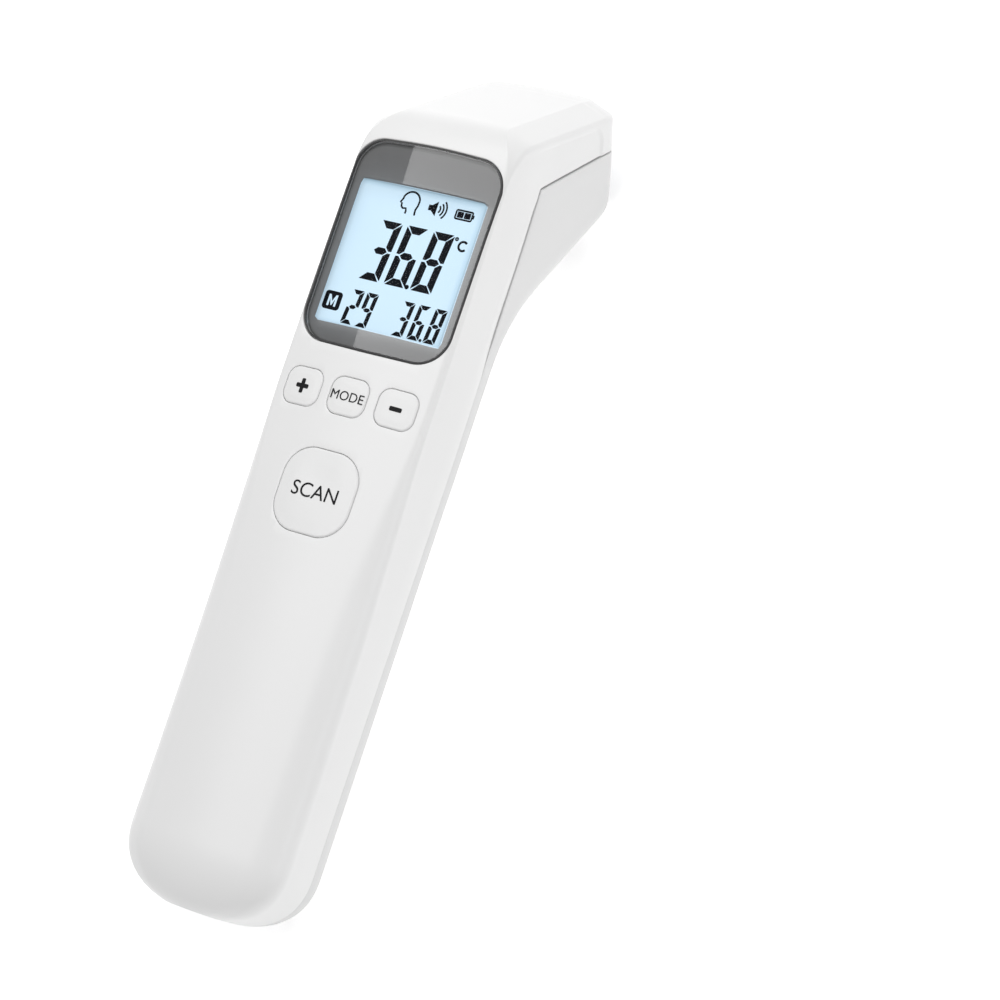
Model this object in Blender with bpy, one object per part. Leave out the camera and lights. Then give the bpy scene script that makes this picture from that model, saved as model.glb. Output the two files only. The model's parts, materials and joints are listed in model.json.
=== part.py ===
"""Non-contact forehead thermometer, lying on its back. Metres, +Z up.

The parts are designed in the device frame: X to the right, Y up the handle and Z out of the
display, from the middle of the handle's foot in the plane of the front face. The empty "device"
carries that frame. It lays the thermometer on its back, on the heel of the handle and the lower
edge of the head, with the world's origin on the floor under the middle of the whole.
"""

from collections import namedtuple
from math import atan2, cos, pi, radians, sin, sqrt, tan

import bmesh
import bpy
from mathutils import Matrix, Vector

MM = 0.001

# The body in its plane of symmetry
HANDLE_DEPTH = 22.4 * MM
ROOF_CORNER = 168.3 * MM  # where the front face and the roof would meet
ROOF_TILT = radians(32)
ROOF_LENGTH = 44.3 * MM
ROLL_RADIUS = 12.4 * MM
BACK_CORNER = 131 * MM  # where the handle's back and the head's underside would meet
UNDERSIDE_TILT = radians(34.4)
UNDERSIDE_LENGTH = 48.5 * MM
HOLLOW_RADIUS = 38 * MM

# Half widths of the body, at three heights
FOOT_HALF = 19.7 * MM
LENS_HALF = 19.35 * MM
HEAD_HALF = 18.9 * MM
LENS_FOOT = 120 * MM  # the height at which the body is LENS_HALF wide

# The rounded ends: length, exponent in plan, and what the two faces lose
FOOT_ROUND = 14.5 * MM
FOOT_POWER = 2.4
FOOT_FRONT = 6.8 * MM
FOOT_BACK = 5.8 * MM
FOOT_END = 0.97  # how far into the rounding the flat end lies
REAR_ROUND = 6.5 * MM
REAR_FRONT = 1.0 * MM
REAR_BACK = 2.4 * MM

# The head's end in plan: distance before its furthest point, and the share of the full width there
REAR_PLAN = (
    (6.5 * MM, 1.0),
    (4.5 * MM, 0.985),
    (3 * MM, 0.93),
    (1.8 * MM, 0.78),
    (0.8 * MM, 0.52),
    (0, 0.25),
)

# The section's front edge, on the handle, beside the lens and on the head
CROWN = (56 * MM, 72 * MM, 300 * MM)
EDGE_IN = (5.9 * MM, 1.1 * MM, 6.4 * MM)
EDGE_DOWN = (2.8 * MM, 2.4 * MM, 2.7 * MM)
EDGE_DRAFT = (0.4 * MM, 0.6 * MM, 0.4 * MM)
EDGE_RADII = ((12 * MM, 8 * MM), (1.5 * MM, 2.5 * MM), (0.8 * MM, 1.2 * MM))
REAR_EDGE_RADIUS = 6.6 * MM
SOFT_TO = 112 * MM  # the soft front edge of the handle fades out here
SOFT_OVER = 55 * MM

# Walls, gaps and the seam between the two shells
SIDE_WALL = 1.5 * MM
FRONT_WALL = 3 * MM
ROOF_WALL = 1.8 * MM
GAP = 0.3 * MM
SEAM = ((-6 * MM, -16.2 * MM), (122 * MM, -16.2 * MM), (162.6 * MM, -15.1 * MM))
SEAM_TILT = radians(36.6)
SEAM_RUN = 60 * MM

# Display
LENS_LOW = 118.4 * MM
LENS_TOP = 162.8 * MM
LENS_HALF_LOW = 17.8 * MM
LENS_HALF_TOP = 17.9 * MM
LENS_ARCH = 0.6 * MM
LENS_CORNERS = (7 * MM, 6.4 * MM)  # radius of the lower corners and of the upper ones
LENS_THICKNESS = 1.2 * MM
LENS_SUNK = 0.15 * MM
LENS_SPREAD = 1.5 * MM  # how far past the body's sides the crown of the lens is carried on
DISPLAY_MIDDLE = 138.4 * MM
DISPLAY_WIDTH = 30.8 * MM
DISPLAY_HEIGHT = 31.4 * MM

# Buttons: name, x, y, width, height, corner radius, depth of the flange and travel
Button = namedtuple("Button", "name x y width height corner shelf travel")
BUTTONS = (
    Button("scan", 0, 87.8 * MM, 18 * MM, 17.8 * MM, 6.4 * MM, 4.1 * MM, 0.6 * MM),
    Button("plus", -11.4 * MM, 108.3 * MM, 9 * MM, 8 * MM, 2.6 * MM, 5.9 * MM, 0.5 * MM),
    Button("mode", 0, 108.3 * MM, 9 * MM, 8 * MM, 2.6 * MM, 3.6 * MM, 0.5 * MM),
    Button("minus", 11.4 * MM, 108.3 * MM, 9 * MM, 8 * MM, 2.6 * MM, 5.9 * MM, 0.5 * MM),
)
BUTTON_PROUD = 0.35 * MM
BUTTON_GAP = 0.3 * MM
FLANGE_OVERLAP = 0.8 * MM
FLANGE_THICKNESS = 0.8 * MM

# Main board and tact switches
BOARD_TOP = -11.5 * MM
BOARD_THICKNESS = 1.6 * MM
BOARD_LOW = 77.5 * MM
BOARD_HIGH = 163 * MM
BOARD_HALF = 14.8 * MM
SWITCH_SIDE = 6 * MM
SWITCH_HEIGHT = 3.4 * MM
PLUNGER_RADIUS = 1.75 * MM
PLUNGER_DEPTH = 2.3 * MM

# Power
CELL_RADIUS = 5.25 * MM
CELL_LENGTH = 44.5 * MM
CELL_X = 5.6 * MM
CELL_Z = -14.2 * MM
TRAY_LOW = 9.3 * MM
TRAY_HIGH = 62.3 * MM
TRAY_HALF = 12.9 * MM
TRAY_WALL = 1.2 * MM
DOOR_TOP = 64 * MM
DOOR_HALF = 14.3 * MM
DOOR_DEPTH = 4.6 * MM

# Screws
BOSS_RADIUS = 3 * MM
SHANK_RADIUS = 1.1 * MM
HEAD_RADIUS = 2.2 * MM
HANDLE_SCREW = (12.4 * MM, 70 * MM)
HEAD_SCREW = (12.4 * MM, 31 * MM)  # x, and the distance along the roof
POST_RADIUS = 2.2 * MM
POSTS = ((12.6 * MM, 80.4 * MM), (12.6 * MM, 160.3 * MM))

# Sensor, measured inwards from the plane of the head's end
SENSOR_SHIFT = -0.4 * MM
MOUTH_RADIUS = 6.3 * MM
BEZEL_THICKNESS = 3 * MM
BEZEL_SUNK = 0.4 * MM

Rib = namedtuple("Rib", "front back head narrow top bottom")


def mix(low, high, t):
    return low + (high - low) * t


def ease(t):
    t = min(max(t, 0), 1)
    return t * t * (3 - 2 * t)


def fillet(before, corner, after, radius, steps):
    """The arc that rounds one corner of a path of 2D points."""
    into, out = before - corner, after - corner
    half = into.angle(out, pi) / 2
    if half > pi / 2 - 1e-3:
        reach = into.normalized() * 0.05 * MM
        return [corner + reach * mix(1, -1, k / steps) for k in range(steps + 1)]
    reach = min(radius / tan(half), 0.45 * into.length, 0.45 * out.length)
    radius = reach * tan(half)
    start = corner + into.normalized() * reach
    end = corner + out.normalized() * reach
    centre = corner + (into.normalized() + out.normalized()).normalized() * radius / sin(half)
    first = atan2(start.y - centre.y, start.x - centre.x)
    turn = (atan2(end.y - centre.y, end.x - centre.x) - first + pi) % (2 * pi) - pi
    angles = [first + turn * k / steps for k in range(steps + 1)]
    return [centre + Vector((cos(a), sin(a))) * radius for a in angles]


def rounded_outline(corners, radii, steps):
    """A closed 2D outline with each corner rounded by its own radius."""
    points = []
    for i, radius in enumerate(radii):
        trio = [Vector(corners[(i + k) % len(corners)]) for k in (-1, 0, 1)]
        points += fillet(*trio, radius, steps)
    return points


def rounded_box(width, height, radius, centre=(0, 0), steps=4):
    x, y = width / 2, height / 2
    corners = [(-x, -y), (x, -y), (x, y), (-x, y)]
    corners = [(a + centre[0], b + centre[1]) for a, b in corners]
    return rounded_outline(corners, [radius] * 4, steps)


def circle(radius, steps, centre=(0, 0)):
    turns = [2 * pi * k / steps for k in range(steps)]
    return [Vector((centre[0] + radius * cos(a), centre[1] + radius * sin(a))) for a in turns]


# The body's surface


def by_zone(values, soft, head):
    """A value of the section between its handle, lens and head forms."""
    return mix(mix(values[1], values[0], soft), values[2], head)


def half_section(half_width, height, head, soft, side_wall, front_wall):
    """The right half of a section, as (x, depth) from the middle of its front to that of its back."""
    width = half_width - side_wall
    depth = height - front_wall - side_wall
    crown = by_zone(CROWN, soft, head)
    edge = width - by_zone(EDGE_IN, soft, head)
    crowned = [Vector((edge * k / 3, (edge * k / 3) ** 2 / 2 / crown)) for k in range(3)]
    shoulder = Vector((edge, edge**2 / 2 / crown))
    draft, down = by_zone(EDGE_DRAFT, soft, head), by_zone(EDGE_DOWN, soft, head)
    side = Vector((width - draft, shoulder.y + down))
    widest = Vector((width, max(side.y + 1 * MM, 0.62 * depth)))
    rear = Vector((width - 0.4 * MM, depth))
    middle = Vector((0, depth))
    radii = [by_zone([pair[i] for pair in EDGE_RADII], soft, head) for i in (0, 1)]
    points = crowned
    points += fillet(crowned[-1], shoulder, side, radii[0], 2)
    points += fillet(shoulder, side, widest, radii[1], 2)
    points += [widest]
    points += fillet(widest, rear, middle, REAR_EDGE_RADIUS, 4)
    points += [middle]
    return [(p.x, p.y + front_wall) for p in points]


def side_paths(steps):
    """The roll between front face and roof, the hollow behind it, and the two rear corners."""
    roof = Vector((sin(ROOF_TILT), -cos(ROOF_TILT)))
    under = Vector((cos(UNDERSIDE_TILT), -sin(UNDERSIDE_TILT)))
    foot_front, foot_back = Vector((0, 0)), Vector((0, -HANDLE_DEPTH))
    front_corner = Vector((ROOF_CORNER, 0))
    back_corner = Vector((BACK_CORNER, -HANDLE_DEPTH))
    roof_end = front_corner + roof * ROOF_LENGTH
    under_end = back_corner + under * UNDERSIDE_LENGTH
    roll = fillet(foot_front, front_corner, roof_end, ROLL_RADIUS, steps)
    hollow = fillet(foot_back, back_corner, under_end, HOLLOW_RADIUS, steps)
    return roll, hollow, roof_end, under_end


def body_ribs(foot_wall=0, full_end=False):
    """The ribs of the body from its foot to the head's end, each between two points (y, z)."""
    roll, hollow, roof_end, under_end = side_paths(6)
    ribs = []
    for k in range(5):
        t = FOOT_END * cos(k / 5 * pi / 2)
        y = foot_wall + (FOOT_ROUND - foot_wall) * (1 - t)
        narrow = (1 - t**FOOT_POWER) ** (1 / FOOT_POWER)
        loss = 1 - sqrt(1 - t**2)
        ends = Vector((y, 0)), Vector((y, -HANDLE_DEPTH))
        ribs.append(Rib(*ends, 0, narrow, FOOT_FRONT * loss, FOOT_BACK * loss))
    for k in range(6):
        y_front = mix(FOOT_ROUND, roll[0].x, k / 6)
        y_back = mix(FOOT_ROUND, hollow[0].x, k / 6)
        ribs.append(Rib(Vector((y_front, 0)), Vector((y_back, -HANDLE_DEPTH)), 0, 1, 0, 0))
    for k in range(7):
        ribs.append(Rib(roll[k], hollow[k], ease(k / 6), 1, 0, 0))
    span = (roof_end - roll[-1]).length
    middle = (1 - REAR_ROUND / span) / 2
    ribs.append(Rib(roll[-1].lerp(roof_end, middle), hollow[-1].lerp(under_end, middle), 1, 1, 0, 0))
    for before_end, width in REAR_PLAN:
        place = 1 - before_end / span
        loss = 1 - sqrt(1 - (1 - before_end / REAR_ROUND) ** 2)
        narrow = 1 if full_end else width
        ends = roll[-1].lerp(roof_end, place), hollow[-1].lerp(under_end, place)
        ribs.append(Rib(*ends, 1, narrow, REAR_FRONT * loss, REAR_BACK * loss))
    return ribs


def half_width_at(y):
    if y < LENS_FOOT:
        return mix(FOOT_HALF, LENS_HALF, y / LENS_FOOT)
    return mix(LENS_HALF, HEAD_HALF, ease((y - LENS_FOOT) / (ROOF_CORNER - LENS_FOOT)))


def rib_ring(rib, side_wall, front_wall):
    """One closed ring of device-frame points around the body at a rib."""
    run = rib.back - rib.front
    height = run.length
    down = run / height
    soft = ease((SOFT_TO - rib.front.x) / SOFT_OVER)
    half = half_width_at(rib.front.x)
    squeeze = (height - rib.top - rib.bottom) / height
    half_ring = []
    for x, depth in half_section(half, height, rib.head, soft, side_wall, front_wall):
        spot = rib.front + down * (rib.top + depth * squeeze)
        half_ring.append((x * rib.narrow, spot.x, spot.y))
    other_half = [(-x, y, z) for x, y, z in half_ring[-2:0:-1]]
    return half_ring + other_half


def body_rings(side_wall=0, front_wall=0, foot_wall=0):
    """The rings of the body, set in by the walls."""
    return [rib_ring(rib, side_wall, front_wall) for rib in body_ribs(foot_wall)]


def cavity_rings(extra=0):
    """The rings of the space inside, which runs out through the head's end."""
    rings = []
    for rib in body_ribs(2 * MM, full_end=True):
        front_wall = mix(FRONT_WALL, ROOF_WALL, rib.head)
        rings.append(rib_ring(rib, SIDE_WALL + extra, front_wall + extra))
    step = sensor_axis() * 3 * MM
    rings.append([tuple(Vector(p) + step) for p in rings[-1]])
    return rings


def sensor_axis():
    """The outward normal of the head's end."""
    _, _, roof_end, under_end = side_paths(1)
    along = (roof_end - under_end).normalized()
    return Vector((0, along.y, -along.x))


def sensor_matrix():
    """The frame at the middle of the sensor's mouth, with Z along the sensor's view."""
    _, _, roof_end, under_end = side_paths(1)
    middle = roof_end.lerp(under_end, 0.5) + (under_end - roof_end).normalized() * SENSOR_SHIFT
    axis = sensor_axis()
    turn = atan2(-axis.y, axis.z)
    return Matrix.Translation((0, middle.x, middle.y)) @ Matrix.Rotation(turn, 4, "X")


# Meshes


def loft(rings):
    """A closed solid through rings with the same number of points."""
    mesh = bmesh.new()
    loops = [[mesh.verts.new(point) for point in ring] for ring in rings]
    count = len(loops[0])
    for low, high in zip(loops, loops[1:]):
        for i in range(count):
            j = (i + 1) % count
            mesh.faces.new((low[i], low[j], high[j], high[i]))
    mesh.faces.new(loops[0])
    mesh.faces.new(reversed(loops[-1]))
    return mesh


def prism(outline, low, high):
    """An outline in X and Y, from one height to another."""
    return loft([[(p[0], p[1], z) for p in outline] for z in (low, high)])


def side_prism(outline, half_width):
    """An outline in Y and Z, across the whole width."""
    return loft([[(x, p[0], p[1]) for p in outline] for x in (-half_width, half_width)])


def box(low, high):
    corners = [(low[0], low[1]), (high[0], low[1]), (high[0], high[1]), (low[0], high[1])]
    return prism(corners, low[2], high[2])


def turned(profile, steps=24):
    """A closed profile of (radius, z) turned about Z."""
    mesh = bmesh.new()
    verts = [mesh.verts.new((r, 0, z)) for r, z in profile]
    pairs = [(verts[i - 1], verts[i]) for i in range(len(verts)) if profile[i - 1][0] or profile[i][0]]
    edges = [mesh.edges.new(pair) for pair in pairs]
    bmesh.ops.spin(mesh, geom=verts + edges, cent=(0, 0, 0), axis=(0, 0, 1), angle=2 * pi, steps=steps)
    bmesh.ops.remove_doubles(mesh, verts=mesh.verts, dist=1e-6)
    return mesh


def rod(radius, low, high, steps=20, centre=(0, 0)):
    return prism(circle(radius, steps, centre), low, high)


# Objects


def clear_scene():
    for old in list(bpy.data.objects):
        bpy.data.objects.remove(old, do_unlink=True)


def finish(name, colour, roughness, metallic=0.0):
    material = bpy.data.materials.new(name)
    material.use_nodes = True
    shader = material.node_tree.nodes["Principled BSDF"]
    shader.inputs["Base Color"].default_value = (*colour, 1)
    shader.inputs["Roughness"].default_value = roughness
    shader.inputs["Metallic"].default_value = metallic
    material.diffuse_color = (*colour, 1)
    return material


def attach(obj, place):
    bpy.context.scene.collection.objects.link(obj)
    obj.parent = bpy.data.objects["device"]
    obj.matrix_local = place
    return obj


def solid(name, mesh, material, place=Matrix(), smooth=35):
    """One sub-part from a bmesh, placed in the device frame."""
    bmesh.ops.recalc_face_normals(mesh, faces=mesh.faces)
    data = bpy.data.meshes.new(name)
    mesh.to_mesh(data)
    mesh.free()
    data.materials.append(material)
    data.shade_smooth()
    data.set_sharp_from_angle(angle=radians(smooth))
    return attach(bpy.data.objects.new(name, data), place)


def cutter(name, mesh, place=Matrix()):
    obj = solid(name, mesh, FINISH["cutter"], place)
    obj.hide_render = True
    obj.display_type = "WIRE"
    return obj


def combine(target, operation, *others):
    for other in others:
        modifier = target.modifiers.new(other.name, "BOOLEAN")
        modifier.operation = operation
        modifier.object = other
    return target


def wire(name, points, radius, material, sides=1):
    """A round wire along a list of device-frame points."""
    curve = bpy.data.curves.new(name, "CURVE")
    curve.dimensions = "3D"
    curve.bevel_depth = radius
    curve.bevel_resolution = sides
    curve.use_fill_caps = True
    curve.materials.append(material)
    spline = curve.splines.new("POLY")
    spline.points.add(len(points) - 1)
    for spot, point in zip(spline.points, points):
        spot.co = (*point, 1)
    return attach(bpy.data.objects.new(name, curve), Matrix())


def smooth_route(points, steps=4):
    """A Catmull-Rom curve through the points."""
    points = [Vector(p) for p in points]
    ends = [points[0] * 2 - points[1]] + points + [points[-1] * 2 - points[-2]]
    route = []
    for a, b, c, d in zip(ends, ends[1:], ends[2:], ends[3:]):
        for k in range(steps):
            t = k / steps
            cubic = 2 * b + (c - a) * t + (2 * a - 5 * b + 4 * c - d) * t**2 + (3 * b - a - 3 * c + d) * t**3
            route.append(cubic / 2)
    return route + [points[-1]]


# Placing the device


def resting_place():
    """The matrix that lays the device on its back, over the world's origin."""
    rings = body_rings()
    low_line = sorted({(p[1], p[2]) for ring in rings for p in ring})
    hull = []
    for point in low_line:
        while len(hull) > 1 and turns_right(hull[-2], hull[-1], point):
            hull.pop()
        hull.append(point)
    heel, corner = max(zip(hull, hull[1:]), key=lambda edge: edge[1][0] - edge[0][0])
    lean = Matrix.Rotation(atan2(heel[1] - corner[1], corner[0] - heel[0]), 4, "X")
    points = [lean @ Vector(p) for ring in rings for p in ring]
    middle = (min(p.y for p in points) + max(p.y for p in points)) / 2
    floor = min(p.z for p in points)
    return Matrix.Translation((0, -middle, -floor)) @ lean


def turns_right(a, b, c):
    return (b[0] - a[0]) * (c[1] - a[1]) - (b[1] - a[1]) * (c[0] - a[0]) <= 0


# Shells


def seam_points(shift):
    """The seam as (y, z), moved by a shift towards the front."""
    last = Vector(SEAM[-1])
    run = Vector((sin(SEAM_TILT), -cos(SEAM_TILT))) * SEAM_RUN
    barrel_normal = Vector((cos(SEAM_TILT), sin(SEAM_TILT)))
    handle_normal = Vector((0, 1))
    bend = (barrel_normal + handle_normal).normalized()
    bend /= bend.dot(handle_normal)
    points = [Vector(p) + handle_normal * shift for p in SEAM[:-1]]
    return points + [last + bend * shift, last + run + barrel_normal * shift]


def front_region():
    low, far, high = -6 * MM, 260 * MM, 20 * MM
    points = seam_points(GAP / 2) + [Vector((far, -40 * MM)), Vector((far, high)), Vector((low, high))]
    return side_prism(points, 30 * MM)


def rear_region():
    low = -90 * MM
    points = seam_points(-GAP / 2)
    return side_prism(points + [Vector((points[-1].x, low)), Vector((-6 * MM, low))], 30 * MM)


def lens_outline(grow=0):
    top, low = LENS_TOP + grow, LENS_LOW - grow
    wide_top, wide_low = LENS_HALF_TOP + grow, LENS_HALF_LOW + grow
    corners = [
        (0, low - LENS_ARCH / 2),
        (wide_low, low),
        (wide_top, top - LENS_ARCH / 2),
        (0, top + LENS_ARCH / 2),
        (-wide_top, top - LENS_ARCH / 2),
        (-wide_low, low),
    ]
    low_corner, top_corner = LENS_CORNERS
    arch = 200 * MM
    radii = [arch, low_corner, top_corner, arch, top_corner, low_corner]
    return rounded_outline(corners, [r + grow for r in radii], 5)


def display_outline(grow=0):
    return rounded_box(
        DISPLAY_WIDTH + 2 * grow, DISPLAY_HEIGHT + 2 * grow, 0.6 * MM, (0, DISPLAY_MIDDLE), 2
    )


def head_screw_matrix():
    """Z points from the roof to the head's underside, from a point on the roof."""
    x, along = HEAD_SCREW
    roof = Vector((0, sin(ROOF_TILT), -cos(ROOF_TILT)))
    spot = Vector((x, ROOF_CORNER, 0)) + roof * along
    turn = Matrix.Rotation(pi / 2 + ROOF_TILT, 4, "X")
    return Matrix.Translation(spot) @ turn


def handle_screw_matrix():
    """Z points from the front face to the handle's back."""
    x, y = HANDLE_SCREW
    return Matrix.Translation((x, y, 0)) @ Matrix.Rotation(pi, 4, "X")


def mirrored(place):
    return Matrix.Diagonal((-1, 1, 1, 1)) @ place @ Matrix.Diagonal((-1, 1, 1, 1))


def screw_places():
    """Each case screw: its name, its frame, and the depths of the seam and of the outer skin."""
    handle, head = handle_screw_matrix(), head_screw_matrix()
    seam_at_head, skin_at_head = 11.2 * MM, 29.6 * MM
    return (
        ("case_screw_low_right", handle, 16.2 * MM, HANDLE_DEPTH),
        ("case_screw_low_left", mirrored(handle), 16.2 * MM, HANDLE_DEPTH),
        ("case_screw_top_right", head, seam_at_head, skin_at_head),
        ("case_screw_top_left", mirrored(head), seam_at_head, skin_at_head),
    )


def make_shells():
    """The two shells and the battery door, cut from one hollow body along the seam."""
    cavity = cutter("cut_cavity", loft(cavity_rings()))
    skin = cutter("trim_skin", loft(body_rings(0.5 * MM, 0.5 * MM, 0.5 * MM)))
    shells = {}
    regions = {"front_cover": front_region(), "rear_cover": rear_region(), "battery_door": door_box(0)}
    for name, keep in regions.items():
        shells[name] = solid(name, loft(body_rings()), FINISH["white_shell"])
        combine(shells[name], "DIFFERENCE", cavity)
        combine(shells[name], "INTERSECT", cutter(f"keep_{name}", keep))
    front, rear = shells["front_cover"], shells["rear_cover"]
    combine(rear, "DIFFERENCE", cutter("cut_door", door_box(GAP)))
    add_bosses(front, rear, skin)
    for place in post_places():
        post = cutter("post", rod(POST_RADIUS, BOARD_TOP + GAP, 2 * MM), place)
        combine(front, "UNION", combine(post, "INTERSECT", skin))
        hole = rod(1.1 * MM, -13 * MM, -6.4 * MM)
        combine(front, "DIFFERENCE", cutter("post_hole", hole, place))
    cut_front_openings(front)


def door_box(grow):
    low = (-DOOR_HALF - grow, -5 * MM, -HANDLE_DEPTH - 1 * MM)
    high = (DOOR_HALF + grow, DOOR_TOP + grow, -HANDLE_DEPTH + DOOR_DEPTH + grow)
    return box(low, high)


def add_bosses(front, rear, skin):
    """Front bosses with pilot holes, and rear tubes that take the screws' heads."""
    for name, place, seam, skin_depth in screw_places():
        boss = cutter("boss", rod(BOSS_RADIUS, -2 * MM, seam - 0.45 * MM), place)
        combine(front, "UNION", combine(boss, "INTERSECT", skin))
        pilot = rod(SHANK_RADIUS + GAP, seam - 8 * MM, seam + 2 * MM)
        combine(front, "DIFFERENCE", cutter("pilot", pilot, place))
        tube = cutter("tube", rod(BOSS_RADIUS, seam + 0.6 * MM, skin_depth + 5 * MM), place)
        combine(rear, "UNION", combine(tube, "INTERSECT", skin))
        head_floor = seam + 2.4 * MM
        head_hole = rod(HEAD_RADIUS + GAP, head_floor, skin_depth + 6 * MM)
        combine(rear, "DIFFERENCE", cutter("head_hole", head_hole, place))
        shank_hole = rod(SHANK_RADIUS + GAP, seam - 1 * MM, head_floor + 1 * MM)
        combine(rear, "DIFFERENCE", cutter("shank_hole", shank_hole, place))
        make_case_screw(name, place, seam, head_floor)


def make_case_screw(name, place, seam, head_floor):
    low = head_floor + GAP
    profile = [
        (0, seam - 6.5 * MM),
        (SHANK_RADIUS, seam - 6 * MM),
        (SHANK_RADIUS, low),
        (HEAD_RADIUS, low),
        (HEAD_RADIUS, low + 1 * MM),
        (1.5 * MM, low + 1.6 * MM),
        (0, low + 1.7 * MM),
    ]
    screw = solid(name, turned(profile, 16), FINISH["steel"], place)
    combine(screw, "DIFFERENCE", cutter("cross", cross_recess(low + 0.9 * MM, low + 2.5 * MM), place))


def cross_recess(low, high):
    arm, thin = 1.1 * MM, 0.25 * MM
    corners = [(thin, thin), (thin, arm), (-thin, arm), (-thin, thin), (-arm, thin), (-arm, -thin)]
    corners += [(-thin, -thin), (-thin, -arm), (thin, -arm), (thin, -thin), (arm, -thin), (arm, thin)]
    return prism(corners, low, high)


def post_places():
    return [Matrix.Translation((side * x, y, 0)) for x, y in POSTS for side in (1, -1)]


def cut_front_openings(front):
    """The lens pocket, the display window and the holes for the buttons."""
    pocket = cutter("cut_pocket", prism(lens_outline(0.2 * MM), -8 * MM, 3 * MM))
    floor = LENS_SUNK + LENS_THICKNESS + 0.25 * MM
    combine(pocket, "DIFFERENCE", cutter("pocket_floor", loft(body_rings(-LENS_SPREAD, floor, 2 * MM))))
    window = cutter("cut_window", prism(display_outline(0.4 * MM), -9 * MM, 3 * MM))
    combine(front, "DIFFERENCE", pocket, window)
    for button in BUTTONS:
        width, height = button.width + 2 * BUTTON_GAP, button.height + 2 * BUTTON_GAP
        outline = rounded_box(width, height, button.corner + BUTTON_GAP)
        place = Matrix.Translation((button.x, button.y, 0))
        hole = prism(outline, -9 * MM, 3 * MM)
        combine(front, "DIFFERENCE", cutter(f"cut_{button.name}", hole, place))


# Display


def make_display():
    lens = solid("display_lens", prism(lens_outline(), -8 * MM, 3 * MM), FINISH["lens"])
    combine(lens, "INTERSECT", cutter("lens_face", loft(body_rings(-LENS_SPREAD, LENS_SUNK))))
    under = LENS_SUNK + LENS_THICKNESS
    combine(lens, "DIFFERENCE", cutter("lens_back", loft(body_rings(-LENS_SPREAD, under, 2 * MM))))
    glass = rounded_box(32.2 * MM, 36 * MM, 0.3 * MM, (0, 138.2 * MM), 1)
    viewing = cutter("glass_step", prism(display_outline(0.1 * MM), -6 * MM, -2 * MM))
    slab = solid("lcd_glass", prism(glass, -7.2 * MM, -5.3 * MM), FINISH["display"])
    combine(slab, "UNION", viewing)
    above = box((-20 * MM, 110 * MM, -3.5 * MM), (20 * MM, 170 * MM, 0))
    combine(slab, "DIFFERENCE", cutter("glass_face", above))
    light = rounded_box(30.6 * MM, 31 * MM, 0.5 * MM, (0, 139.6 * MM), 1)
    solid("lcd_backlight", prism(light, -9.8 * MM, -7.5 * MM), FINISH["light_guide"])
    make_lcd_frame()
    led = box((-1.8 * MM, 155.5 * MM, -9 * MM), (1.8 * MM, 156.5 * MM, -7.6 * MM))
    solid("backlight_led", led, FINISH["led"])
    strip = box((-13 * MM, 120.4 * MM, BOARD_TOP + GAP), (13 * MM, 122.6 * MM, -7.5 * MM))
    solid("zebra_strip", strip, FINISH["rubber"])


def make_lcd_frame():
    outer = rounded_box(33.8 * MM, 39 * MM, 0.8 * MM, (0, 138.3 * MM), 2)
    frame = solid("lcd_frame", prism(outer, -10.9 * MM, -6.6 * MM), FINISH["white_inner"])
    pocket = rounded_box(32.8 * MM, 37 * MM, 0.4 * MM, (0, 138.2 * MM), 1)
    combine(frame, "DIFFERENCE", cutter("frame_pocket", prism(pocket, -10.1 * MM, -4 * MM)))
    slot = box((-13.4 * MM, 120 * MM, -12 * MM), (13.4 * MM, 123 * MM, -9 * MM))
    combine(frame, "DIFFERENCE", cutter("frame_slot", slot))


# Buttons and the board


def make_button(button):
    """A cap that follows the crowned face, with a flange inside, and the switch under it."""
    place = Matrix.Translation((button.x, button.y, 0))
    flange_low = -button.shelf - FLANGE_THICKNESS
    outline = rounded_box(button.width, button.height, button.corner)
    block = prism(outline, flange_low + 0.2 * MM, 3 * MM)
    cap = solid(f"{button.name}_button", block, FINISH["button"], place)
    proud = cutter(f"{button.name}_face", loft(body_rings(-BUTTON_PROUD, -BUTTON_PROUD)))
    combine(cap, "INTERSECT", proud)
    wide = 2 * FLANGE_OVERLAP
    corner = button.corner + FLANGE_OVERLAP
    outline = rounded_box(button.width + wide, button.height + wide, corner, steps=3)
    flange = prism(outline, flange_low, -button.shelf)
    combine(cap, "UNION", cutter(f"{button.name}_flange", flange, place))
    make_switch(button, place, flange_low)


def make_switch(button, place, flange_low):
    low = BOARD_TOP + GAP
    top = low + SWITCH_HEIGHT
    body = rounded_box(SWITCH_SIDE, SWITCH_SIDE, 0.5 * MM, steps=1)
    switch = solid(f"{button.name}_switch", prism(body, low, top), FINISH["black_part"], place)
    bore = rod(PLUNGER_RADIUS + GAP, top - PLUNGER_DEPTH - button.travel - 0.4 * MM, top + 1 * MM)
    combine(switch, "DIFFERENCE", cutter(f"{button.name}_bore", bore, place))
    plunger = rod(PLUNGER_RADIUS, top - PLUNGER_DEPTH, flange_low - GAP, 16)
    solid(f"{button.name}_plunger", plunger, FINISH["switch_stem"], place)


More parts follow.
